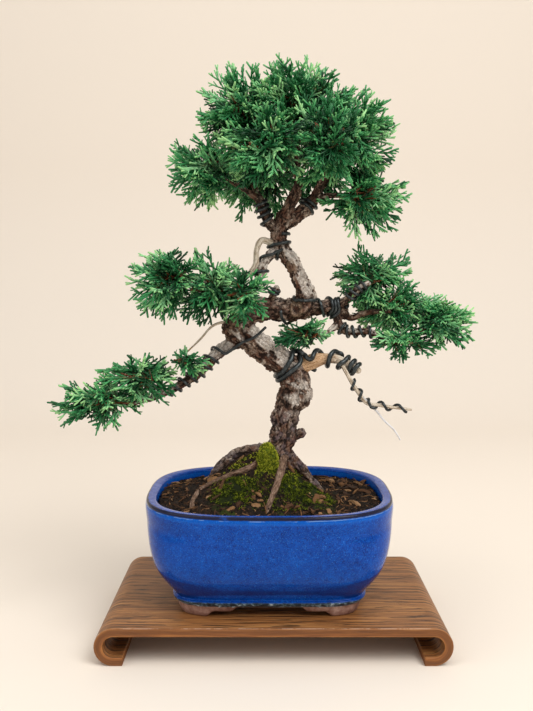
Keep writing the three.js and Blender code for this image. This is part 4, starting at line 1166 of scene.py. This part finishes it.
bark.set("Base Color", bark.layered(
    bark_colour,
    (bleached_and_lit * 0.9, bleached_and_lit_colour),
    (pits * bleached_and_lit * 0.75, "#4a382d"),
    ((1.0 - flake_edge.above(0.02, 0.14)) * (0.5 - bleached_and_lit * 0.35), "#2c1e16"),
    (red_patch * (0.5 - bleached_and_lit * 0.5), "#69402f"),
    (slate * 0.45, "#5b5560"),
    (cracks_dark_and_shade * (0.85 - bleached_and_lit * 0.5), "#1a110c"),
    (bark.number("callus") * speckle * 0.7, "#a58a70"),
    (bark.number("root") * 0.85, root_colour),
    (bark.number("dead"), bark.layered(dead_colour, (stub_heart * 0.85, heart_colour), (silver, "#e2e2e6"))),
))
bark.bump(bark_fibre * 0.4 + speckle * 0.3 + flake_edge.above(0.0, 0.2) * 0.4, 0.0008, 0.9)
dress(wood, bark, "bark", "wood")
dress(dead_ends, bark, "bark", "wood")


# ---- Training wire ----
# Soft dark-anodised aluminium wire in a few gauges, wound by hand round the limbs to hold their bends and
# tied only by its own turns. Each end is cut square and bent in.
turn_steps = 20  # points to a turn
relax_passes = 60
wire_gap = 0.25
sharpest_bend = 0.42
bend_easing = 0.25
wire_obstacles = [np.vstack(list(limb_lines.values()))]

# Each has half its thickness, then its legs. A leg is a list of places, or a limb, the shares of it where
# the leg starts and ends, how many turns it makes and the share of a turn that it starts at.
wires = {
    "wire_heavy": (1.7, [
        ["trunk", 0.315, 0.35, 2.1, 0.75], ["dead_branch", 0.3, 0.6, -1.4, 0.48],
        ["dead_branch", 0.66, 0.96, -3, 0.2],
    ]),
    "wire_dead_twist": (1, [["dead_twist", 0.34, 0.97, 4.5, 0.2]]),
    "wire_low_branch": (1, [
        [[-5, -13.5, 223], [-13, -14.5, 216], [-22, -15, 212]], ["low_branch", 0.22, 0.74, 7, 0.4],
    ]),
    "wire_bar": (1.15, [
        ["trunk", 0.645, 0.7, 0.9, 0.6], ["right_branch", 0.3, 0.6, 1, 0.3],
        ["right_branch", 0.66, 0.97, 3, 0.4],
    ]),
    "wire_up_twig": (1.05, [["right_twig_up", 0.38, 0.86, 3.4, 0.3]]),
    "wire_low_twig": (1.05, [["right_twig_low", 0.2, 0.66, 5, 0.1]]),
    "wire_neck": (1.15, [["trunk", 0.93, 0.888, 1.6, 0.1], ["wired_twig", 0.2, 0.68, 2.8, 0.75]]),
    "wire_crown": (1.15, [["trunk", 0.958, 0.972, 0.6, 0.7], ["crown_branch", 0.36, 0.94, 3.6, 0.2]]),
    "wire_stem": (1.1, [["stem_b", 0.42, 0.62, 1.6, 0.3]]),
    "wire_stub": (0.9, [["bar_stub", 0.45, 0.92, 1.8, 0.2]]),
}


def turns_round(limb_name, start, end, turns_made, first_angle, radius):
    """Points wound round a limb from one place on it to another."""
    line = through(wood_limbs[limb_name], math.ceil(400 / (len(wood_limbs[limb_name]) - 1)))
    _, side, other = turned_frames(line)
    count = math.ceil(abs(turns_made) * turn_steps)
    share = np.arange(count + 1) / count
    at = np.round((start + (end - start) * share) * (len(line) - 1)).astype(int)
    angle = (first_angle + turns_made * share) * 2 * np.pi
    reach_out = (line[at, 3] + radius + wire_gap)[:, None]
    return line[at, :3] + reach_out * (side[at] * np.cos(angle)[:, None] + other[at] * np.sin(angle)[:, None])


def push_off(points, obstacles, radius):
    """Moves points out of the wood and of other wires."""
    for start in range(0, len(points), 200):
        away = points[start : start + 200, None] - obstacles[None, :, :3]
        distance = np.linalg.norm(away, axis=2)
        lack = obstacles[None, :, 3] + radius + wire_gap - distance
        worst = lack.argmax(axis=1)
        rows = np.arange(len(worst))
        need = np.maximum(lack[rows, worst], 0)
        step = away[rows, worst] / distance[rows, worst][:, None] * need[:, None]
        points[start : start + 200] += step


def push_apart(points, radius):
    """Moves turns of one wire off each other."""
    away = points[:, None] - points[None]
    distance = np.linalg.norm(away, axis=2)
    apart = np.abs(np.subtract.outer(np.arange(len(points)), np.arange(len(points)))) > turn_steps // 2
    lack = np.maximum(np.where(apart, 2 * radius + 0.1 - distance, 0), 0)
    push = (away / np.maximum(distance, 1e-6)[:, :, None] * (lack * 0.5)[:, :, None]).sum(axis=1)
    points += push / np.maximum((lack > 0).sum(axis=1), 1)[:, None]


def ease_bends(points):
    """Opens the sharpest bends of a wire, which can't fold back on itself."""
    before, after = points[1:-1] - points[:-2], points[2:] - points[1:-1]
    cosine = (before * after).sum(axis=1) / (np.linalg.norm(before, axis=1) * np.linalg.norm(after, axis=1))
    sharp = cosine < math.cos(sharpest_bend)
    halfway = (points[:-2] + points[2:]) / 2
    points[1:-1][sharp] += (halfway[sharp] - points[1:-1][sharp]) * bend_easing


def wire_line(radius, route):
    """A wire's legs joined to one line and pressed clear of the wood, of other wires and of itself."""
    points = []
    for leg in route:
        wound = turns_round(*leg, radius) if isinstance(leg[0], str) else through(leg, 8)
        if points:
            last = points[-1]
            steps = max(1, math.ceil(np.linalg.norm(last - wound[0]) / 1.0))
            points += [last + (wound[0] - last) * k / steps for k in range(1, steps)]
        points += list(wound)
    points = np.array(points)
    obstacles = np.vstack(wire_obstacles)
    for _ in range(relax_passes):
        ease_bends(points)
        push_off(points, obstacles, radius)
        push_apart(points, radius)
    return points


anodised = Finish("dark_wire", roughness=0.36, metal=0.6)
wire_wear = anodised.grain(anodised.place, 500.0, 4.0, 0.7)
anodised.set("Base Color", anodised.ramp(wire_wear, [(0.35, "#252829"), (0.6, "#43494b"), (0.78, "#787f83")]))
anodised.set("Roughness", 0.24 + wire_wear * 0.25)
anodised.bump(wire_wear, 0.00008, 0.5)
for name, (wire_radius, route) in wires.items():
    placed = wire_line(wire_radius, route)
    line = through(np.column_stack([placed, np.full(len(placed), wire_radius)]), 2)
    wire_obstacles.append(line[::2])
    wire = join_lofts(name + "_wound", [tube(line, 10, round_ends=False)])
    dress(wire, anodised, "training_wire", name)


# ---- Foliage ----
# Live juniper: flat sprays of cord-like green shoots covered in tiny scales, yellow-green at the growing
# tips, on thin orange-brown twigs. Each leafy branch is its own bunch of sprays round the end of a twig.
leafy_branches = {
    "crown_top": ("twig_top", (20, -2, 377), (44, 36, 36)),
    "crown_top_left": ("twig_top_left", (-20, -4, 371), (37, 34, 34)),
    "crown_left": ("twig_left", (-47, -1, 334), (31, 34, 26)),
    "crown_front": ("twig_front", (-6, -36, 346), (33, 26, 30)),
    "crown_front_right": ("twig_front_right", (34, -36, 350), (30, 26, 32)),
    "crown_right": ("twig_right", (57, -2, 356), (31, 33, 34)),
    "crown_low_right": ("twig_low_right", (66, 0, 312), (30, 30, 28)),
    "crown_back_left": ("twig_back_left", (-10, 36, 335), (40, 28, 38)),
    "crown_back_right": ("twig_back_right", (34, 37, 350), (38, 27, 36)),
    "left_outer": ("dead_loop", (-74, -22, 254), (29, 29, 25)),
    "left_inner": ("wired_twig", (-47, -14, 250), (29, 31, 28)),
    "left_front": ("twig_knee", (-22, -34, 246), (20, 18, 22)),
    "lower_left_tip": ("low_branch", (-124, -24, 171), (29, 27, 19)),
    "lower_left_mid": ("low_twig_up", (-95, -21, 186), (27, 25, 19)),
    "lower_left_inner": ("low_twig_inner", (-62, -22, 199), (17, 16, 10)),
    "right_top": ("right_twig_up", (75, 18, 254), (32, 29, 28)),
    "right_mid": ("right_twig_mid", (92, 15, 237), (34, 30, 24)),
    "right_tip": ("right_twig_low", (121, -2, 224), (25, 30, 19)),
    "right_under": ("right_twig_under", (93, -10, 210), (27, 24, 12)),
    "right_fringe": ("fringe_twig", (22, -4, 217), (27, 20, 12)),
}
sprays_per_mm2, least_sprays = 0.0059, 6
spray_length = (24, 42)
inner_sprays = 0.2  # the share of the sprays that stay inside the bunch, in its shade
cord_pitch = 3.3  # between one side cord and the next, which is on the other side
cord_thickness = 1.4
buried = 0.72  # a spray whose tip lies this deep in another bunch is left out


def unit(vector):
    return vector / np.linalg.norm(vector)


def shoot(name, length, prongs):
    """One green cord, 1 mm thick until it is set, with short prongs to its two sides in turn."""

    def on_cord(z):
        return np.array([0.06 * length * (z / length) ** 2, 0, z])

    start, middle, end = on_cord(0), on_cord(length * 0.5), on_cord(length - 0.35)
    point = end + (end - middle) / np.linalg.norm(end - middle) * 0.35
    cord = np.array([[*start, 0.5], [*middle, 0.5], [*end, 0.47], [*point, 0.2]])
    parts = [tube(cord, 4, round_ends=False)]
    prong_angle = math.radians(33)
    for k, (height, reach_out) in enumerate(prongs):
        start = on_cord(height)
        end = start + np.array([(-1) ** k * math.sin(prong_angle), 0, math.cos(prong_angle)]) * reach_out
        parts.append(tube(np.array([[*start, 0.46], [*end, 0.38]]), 3, round_ends=False))
    heights = np.concatenate([rings[..., 2].ravel() for rings in parts])
    return join_lofts(name, parts, zero=0, tip=np.clip(heights / length, 0, 1))


shoot_lengths = (6, 5, 8.5, 13)
shoot_prongs = ([], [], [(4.3, 3.4)], [(5.0, 5.0), (8.6, 3.6)])
shoot_shapes = hidden_collection(
    "shoots", [shoot(f"shoot_{i}", *made) for i, made in enumerate(zip(shoot_lengths, shoot_prongs))]
)


def shoots_tree():
    """Sets a shape at each point, aimed and sized by what the point carries."""
    graph, given = new_tree(
        "grown_shoots", geometry="Geometry", shapes="Collection", thickness="Float", finish="Material"
    )

    def carried(name, kind):
        return graph.node("GeometryNodeInputNamedAttribute", {"data_type": kind}, {"Name": name}, "Attribute")

    ahead, beside = carried("ahead", "FLOAT_VECTOR"), carried("beside", "FLOAT_VECTOR")
    axes = {"Primary Axis": ahead, "Secondary Axis": beside}
    facing = graph.node("FunctionNodeAxesToRotation", {"primary_axis": "Z", "secondary_axis": "X"}, axes)
    thick = carried("thick", "FLOAT") * given["thickness"]
    size = graph.combined(thick, thick, carried("length", "FLOAT"))
    placing = {"Rotation": facing, "Scale": size, "Instance Index": carried("kind", "INT")}
    return set_shapes(graph, given, given["geometry"], placing)


grown_shoots = shoots_tree()
bunches = {
    name: (np.array(centre, float), np.array(reach, float))
    for name, (_, centre, reach) in leafy_branches.items()
}
stem_links = [(0.6, 1.0), (0.85, 0.45), (1.0, 0.0), (1.0, 0.0)]  # how thick and how woody each is


def spray_cords(random, base, tip, beside, tone):
    """The shoots of one flat spray: a stem, and cords to its left and right that shorten towards its end."""
    cords = []
    span = np.linalg.norm(tip - base)
    ahead = (tip - base) / span
    up = np.cross(ahead, beside)
    bow = random.uniform(-0.14, 0.14) * span

    def on_stem(t):
        return base + ahead * span * t + up * bow * 4 * t * (1 - t)

    def add(start, aim, turned, length, thick, kind, age, woody):
        cords.append((start, aim, turned, length / shoot_lengths[kind], thick, kind, tone, age, woody))

    for k, (thick, woody) in enumerate(stem_links):
        start, end = on_stem(k / len(stem_links)), on_stem((k + 1) / len(stem_links))
        kind = 2 if k == len(stem_links) - 1 else 0
        size = np.linalg.norm(end - start)
        add(start, unit(end - start), beside, size * 1.08, thick, kind, 0.2 + 0.2 * k, woody)
    side = random.choice((-1, 1))
    for along in np.arange(0.2 * span, 0.95 * span, cord_pitch):
        t = along / span
        side = -side
        spread = math.radians(random.uniform(27, 46))
        lift = random.normal(0, 0.15)
        aim = unit(ahead * math.cos(spread) + beside * side * math.sin(spread) + up * lift)
        length = (6 + 9 * (1 - t) ** 0.8) * min(1, span / 30) * random.uniform(0.75, 1.25)
        kind = 1 if length < 7.6 else 2 if length < 11 else 3
        turned = unit(ahead + 0.35 * random.standard_normal(3))
        add(on_stem(t), aim, turned, length, random.uniform(0.9, 1.1), kind, 0.35 + 0.55 * t, 0.0)
    return cords


def twig_cord(start, end, thick):
    """A bare twig inside a bunch, as a list of one cord, or of none where it would be a mere stub."""
    along = end - start
    size = np.linalg.norm(along)
    turned = np.cross(along, (0.3, 0.8, 0.1))
    if size <= 0.5:
        return []
    return [(start, along / size, unit(turned), size * 1.03 / shoot_lengths[0], thick, 0, 0.5, 0.0, 1.0)]


def bough_places(random, origin, centre, reach, cords):
    """Twigs that fork from a bunch's origin, and the places along them where sprays may spring."""
    places = [origin]
    for k in range(11):
        turn = k * 2.4 + random.uniform(-0.3, 0.3)
        rise = random.uniform(-0.1, 1.0)
        aim = (math.cos(turn) * math.cos(rise), math.sin(turn) * math.cos(rise), math.sin(rise) - 0.1)
        bough = centre + np.array(aim) * reach * random.uniform(0.35, 0.6)
        cords += twig_cord(origin, bough, 0.7)
        places += [origin + (bough - origin) * share for share in (0.35, 0.55, 0.75, 0.9, 1)]
    return np.array(places)


def bunch_points(name, number):
    """Every shoot and twig of one leafy branch, as points that carry how each is aimed and sized."""
    centre, reach = bunches[name]
    random = np.random.default_rng(500 + number)
    twig_end = limb_lines[leafy_branches[name][0]][-1, :3]
    origin = twig_end + (centre - twig_end) * 0.35
    cords = twig_cord(twig_end - unit(origin - twig_end) * 2, origin, 1.1)
    boughs = bough_places(random, origin, centre, reach, cords)
    a, b, c = reach
    area = 4 * math.pi * (((a * b) ** 1.6 + (a * c) ** 1.6 + (b * c) ** 1.6) / 3) ** (1 / 1.6)
    for _ in range(round(area * sprays_per_mm2 + least_sprays)):
        aim = unit(random.standard_normal(3))
        inner = random.random() < inner_sprays
        depth = random.uniform(0.5, 0.78) if inner else random.uniform(0.8, 1.08)
        tip = centre + aim * reach * depth
        length = random.uniform(*spray_length) * min(1, (reach.min() + 14) / 36)
        # Sprays inside the bunch are made darker: painted shade added to each spray's random tone
        tone = np.clip(random.normal(0.53, 0.25) - 0.4 * inner, 0, 1)
        outward = unit(aim / reach + (centre - twig_end) * 0.8 / reach.max() ** 2)
        away = tip - boughs
        distance = np.linalg.norm(away, axis=1)
        turned_back = 1 - away @ outward / distance
        cost = np.abs(distance - length) / 8 + 2 * turned_back + 0.3 * random.random(len(boughs))
        base = boughs[cost.argmin()]
        facing = aim * 0.7 + (0, -0.3, 0.5) + 0.4 * random.standard_normal(3)
        beside = unit(np.cross(tip - base, facing))
        others = [np.linalg.norm((tip - bunches[o][0]) / bunches[o][1]) for o in bunches if o != name]
        if min(others) > buried and np.linalg.norm(tip - base) > 8:
            cords += spray_cords(random, base, tip, beside, tone)
    starts, *columns = zip(*cords)
    carried = dict(zip(("ahead", "beside", "length", "thick", "kind", "tone", "age", "woody"), columns))
    kinds = carried.pop("kind")
    points = piece_from(name + "_sprays", np.array(starts), [], **carried)
    points.data.attributes.new("kind", "INT", "POINT").data.foreach_set("value", kinds)
    return points


leaf = Finish("juniper_leaf", roughness=0.42, gloss=0.38)
# The tone holds each spray's random tone and the painted shade of the inner sprays
leaf_tone_and_shade, leaf_age, leaf_tip = leaf.number("tone"), leaf.number("age"), leaf.number("tip")
leaf_fine = leaf.grain(leaf.place, 1400.0, 3.0, 0.7)
leaf_cloud = leaf.grain(leaf.place, 45.0, 2.0, 0.5)
green = leaf.ramp(
    leaf_tone_and_shade * 0.55 + leaf_cloud * 0.3 + leaf_fine * 0.15,
    [(0.2, "#08371c"), (0.38, "#196436"), (0.54, "#429a5b"), (0.7, "#9cdca2")],
)
fresh = (leaf_tip * 0.5 + leaf_age * 0.4 + leaf_tone_and_shade * 0.7).above(0.95, 1.45)
shaded = 1.0 - (leaf_tip * 0.5 + leaf_age * 0.6).above(0.1, 0.8)
twig_colour = leaf.ramp(leaf_fine, [(0.3, "#4a2a18"), (0.55, "#7f4826"), (0.75, "#a96d42")])
leaf.set("Base Color", leaf.layered(
    green, (fresh * 0.6, "#9ccb76"), (shaded * 0.9, "#042012"), (leaf.number("woody"), twig_colour),
))
leaf.bump(leaf_fine, 0.0002, 0.5)
for number, name in enumerate(leafy_branches):
    bunch = bunch_points(name, number)
    put_through(bunch, grown_shoots, shapes=shoot_shapes, thickness=cord_thickness, finish=leaf.material)
    dress(bunch, None, "foliage", name)


# ---- Studio ----
# A seamless pale sweep of paper, lit by a big soft light from the right, a weaker one from the left and
# one from above, in a bright, even room.
floor_front, bend_start, bend_radius, wall_top = -6, 0.75, 0.5, 2.6  # in metres, as all of the studio is
paper_half_width = 2.5
bend = np.radians(np.linspace(-90, 0, 25))
bend_line = [(bend_start + bend_radius * math.cos(a), bend_radius * (1 + math.sin(a))) for a in bend]
paper_line = [(floor_front, 0.0), *bend_line, (bend_start + bend_radius, wall_top)]
paper_points = [(x, y, z) for y, z in paper_line for x in (-paper_half_width, paper_half_width)]
paper_faces = [[i, i + 1, i + 3, i + 2] for i in range(0, len(paper_points) - 2, 2)]
paper = piece_from("paper_sweep", np.array(paper_points) / MM, paper_faces, zero=0)
paper_finish = Finish("paper", roughness=0.9, gloss=0.2)
paper_finish.set("Base Color", paint("#e7ddd1"))
paper.data.materials.append(paper_finish.material)

daylight = (1, 0.985, 0.96)


def soft_light(name, place, aim, size, power):
    light = bpy.data.lights.new(name, "AREA")
    light.shape = "RECTANGLE"
    light.size, light.size_y = size
    light.energy = power
    light.color = daylight
    lamp = put_in_scene(bpy.data.objects.new(name, light))
    lamp.location = place
    lamp.rotation_euler = (Vector(aim) - Vector(place)).to_track_quat("-Z", "Y").to_euler()


soft_light("key", (0.9, -1.0, 1.5), (0, 0, 0.2), (1.1, 1.1), 25)
soft_light("fill", (-1.3, -0.7, 1.0), (0, 0, 0.2), (1.2, 1.2), 6)
soft_light("top", (0, -0.35, 2.0), (0, -0.1, 0), (2.2, 1.6), 17)
world = bpy.data.worlds.new("room")
world.use_nodes = True
room = world.node_tree.nodes["Background"].inputs
room["Color"].default_value = (*daylight, 1)
room["Strength"].default_value = 0.45
bpy.context.scene.world = world
bpy.context.scene.view_settings.view_transform = "Standard"
